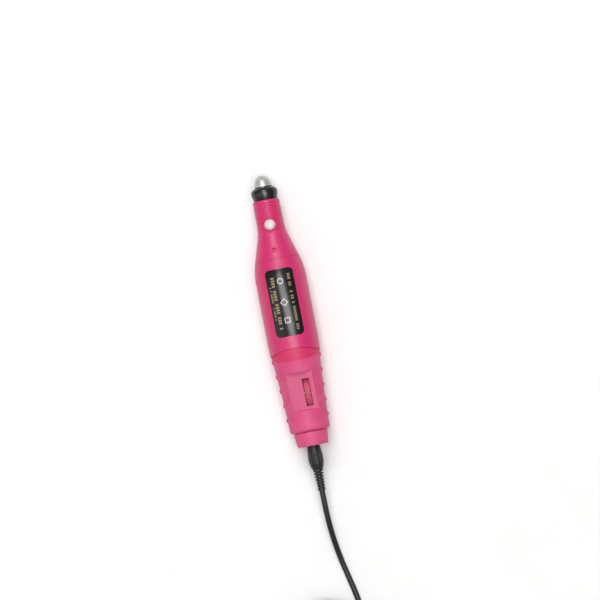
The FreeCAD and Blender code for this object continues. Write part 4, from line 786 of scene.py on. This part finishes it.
# %% Label finish
film = finish("gloss_black_film", "#0C0B0A", 0.22, IOR=1.5)
base = mottled(film, "#0B0A09", "#12100F", 6)
x, station, up = pen_place(film)
label_low, label_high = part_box("rating_label")
LABEL_FRONT, LABEL_REAR = station_of(label_high.y), station_of(label_low.y)
LABEL_MIDDLE = (LABEL_FRONT + LABEL_REAR) / 2


def bar_column(middle, half, pitch, seed, front, rear):
    """A mask of bars one after another along the pen, with a few left out."""
    steps = calc(film, "DIVIDE", station, pitch)
    bar = calc(film, "COMPARE", calc(film, "FRACT", steps), 0.5, 0.34)
    cell = calc(film, "ADD", calc(film, "FLOOR", steps), seed)
    lot = add(film, "ShaderNodeTexWhiteNoise", {"noise_dimensions": "1D"}, {"W": cell}).outputs["Value"]
    printed = calc(film, "MULTIPLY", bar, calc(film, "GREATER_THAN", lot, 0.2))
    column = calc(film, "MULTIPLY", printed, calc(film, "COMPARE", x, middle, half))
    within = calc(film, "COMPARE", station, (front + rear) / 2, (rear - front) / 2)
    return calc(film, "MULTIPLY", column, within)


large = bar_column(-4.3, 0.95, 1.5, 3, LABEL_FRONT + 2.5, LABEL_REAR - 4)
medium = bar_column(5.0, 0.75, 1.25, 11, LABEL_FRONT + 2.5, LABEL_REAR - 3)
small = bar_column(-6.3, 0.45, 0.9, 29, LABEL_FRONT + 9, LABEL_REAR - 10)
gold = calc(film, "MAXIMUM", calc(film, "MAXIMUM", large, medium), small)
across = calc(film, "ABSOLUTE", x)
signs = None
for place, kind in ((LABEL_FRONT + 7, "ring"), (LABEL_MIDDLE, "diamond"), (LABEL_REAR - 9, "square")):
    along = calc(film, "ABSOLUTE", calc(film, "SUBTRACT", station, place))
    if kind == "ring":
        squares = (calc(film, "MULTIPLY", side, side) for side in (across, along))
        mask = calc(film, "COMPARE", calc(film, "SQRT", calc(film, "ADD", *squares)), 1.5, 0.3)
    elif kind == "diamond":
        mask = calc(film, "COMPARE", calc(film, "ADD", across, along), 1.95, 0.4)
    else:
        mask = calc(film, "COMPARE", calc(film, "MAXIMUM", across, along), 1.35, 0.28)
    signs = mask if signs is None else calc(film, "MAXIMUM", signs, mask)
printed = blend(film, calc(film, "MULTIPLY", gold, 0.85), base, "#A58E70")
into(film, "Base Color", blend(film, calc(film, "MULTIPLY", signs, 0.85), printed, "#CFC9C0"))
coat([label], film)
print(f"label from station {LABEL_FRONT:.1f} to {LABEL_REAR:.1f} mm")

# %% [markdown]
# ## Metal and PVC outside
# The nut is blasted aluminium, the mains pins are nickel-plated brass, and the power supply is black
# polycarbonate with a fine spark-eroded grain.

# %% Outer metals and supply
bar_aluminium = finish("blasted_aluminium", "#D2D1CD", 0.46, 0.75)
mottled(bar_aluminium, "#D6D5D1", "#C6C5C1", 0.6)
textured(bar_aluminium, 0.12, 0.003, 0.42, 0.52)
coat([nut], bar_aluminium)
coat([grip, relief, sleeve, ties], soft_pvc)
case_black = finish("grained_black_polycarbonate", "#151517", 0.5, IOR=1.58)
mottled(case_black, "#151517", "#1A1A1C", 1.2)
textured(case_black, 0.5, 0.03, 0.45, 0.6)
coat([case, plate], case_black)
nickel = finish("nickel_plated_brass", "#CFCBC2", 0.22, 1.0)
mottled(nickel, "#CFCBC2", "#C2BEB4", 2)
coat([pins], nickel)

# %% [markdown]
# ## Pieces inside
# Nobody sees these while the pen is closed, but a poster or a cutaway may. Each kind of stock gets one
# finish: bright steel, zinc-plated sheet, enamelled copper, brass, sintered magnet, carbon, nylon, rubber,
# board and lead insulation.

# %% Finishes of the inner pieces
def stock(name, first, second, grain_mm, roughness, metallic, *nodes):
    """A drifting colour with fine relief for CAD nodes that stay as they are."""
    material = finish(name, first, roughness, metallic)
    mottled(material, first, second, grain_mm)
    textured(material, grain_mm / 4, 0.003)
    coat([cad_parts[node] for node in nodes], material)


stock("ground_steel", "#C2C4C7", "#B4B6B9", 0.8, 0.25, 1.0, "collet", "spindle", "motor_shaft", "lock_pin",
      "dial_shaft", "front_bearing_inner_race", "front_bearing_outer_race", "front_bearing_balls",
      "rear_bearing_inner_race", "rear_bearing_outer_race", "rear_bearing_balls")
stock("spring_steel", "#A9ABAF", "#9A9CA0", 0.4, 0.3, 1.0, "lock_spring")
stock("zinc_plated_sheet", "#B9BDC2", "#A8ACB2", 1.5, 0.35, 1.0, "motor_can", "cover_screws")
stock("silicon_iron", "#5E6064", "#525458", 0.6, 0.5, 1.0, "armature_core")
stock("sintered_bronze", "#A37A4B", "#966F43", 0.4, 0.45, 1.0, "motor_bushes")
stock("enamelled_copper", "#B4602F", "#A35528", 0.5, 0.35, 1.0, "armature_windings")
stock("bare_copper", "#C47A50", "#B66E46", 0.5, 0.3, 1.0, "commutator", "motor_terminals", "plug_contact")
stock("nickel_plated_contact", "#CBC7BD", "#BEBAB0", 0.6, 0.25, 1.0, "plug_barrel", "jack_pin")
stock("sintered_ferrite", "#2E2F31", "#353638", 0.5, 0.7, 0.0, "motor_magnets")
stock("brush_carbon", "#26272A", "#303134", 0.3, 0.6, 0.0, "motor_brushes")
stock("white_nylon", "#E4E0D6", "#DAD6CB", 1.0, 0.45, 0.0, "lock_guide", "motor_end_bell")
stock("black_rubber", "#1B1B1C", "#222223", 0.6, 0.7, 0.0, "shaft_coupling")
stock("black_thermoplastic", "#1D1D1F", "#252527", 0.8, 0.5, 0.0, "jack_body", "potentiometer", "transistor",
      "adapter_transformer")
stock("capacitor_sleeve", "#22324E", "#1C2A43", 0.8, 0.35, 0.0, "capacitor")
stock("green_solder_mask", "#2C6B3F", "#256036", 1.2, 0.35, 0.0, "circuit_board", "adapter_board")
stock("red_insulation", "#B3262A", "#A62024", 0.6, 0.45, 0.0, "motor_lead_red", "supply_lead_red")
stock("black_insulation", "#19191A", "#202022", 0.6, 0.45, 0.0, "motor_lead_black", "supply_lead_black")
print(len(bpy.data.materials), "materials")
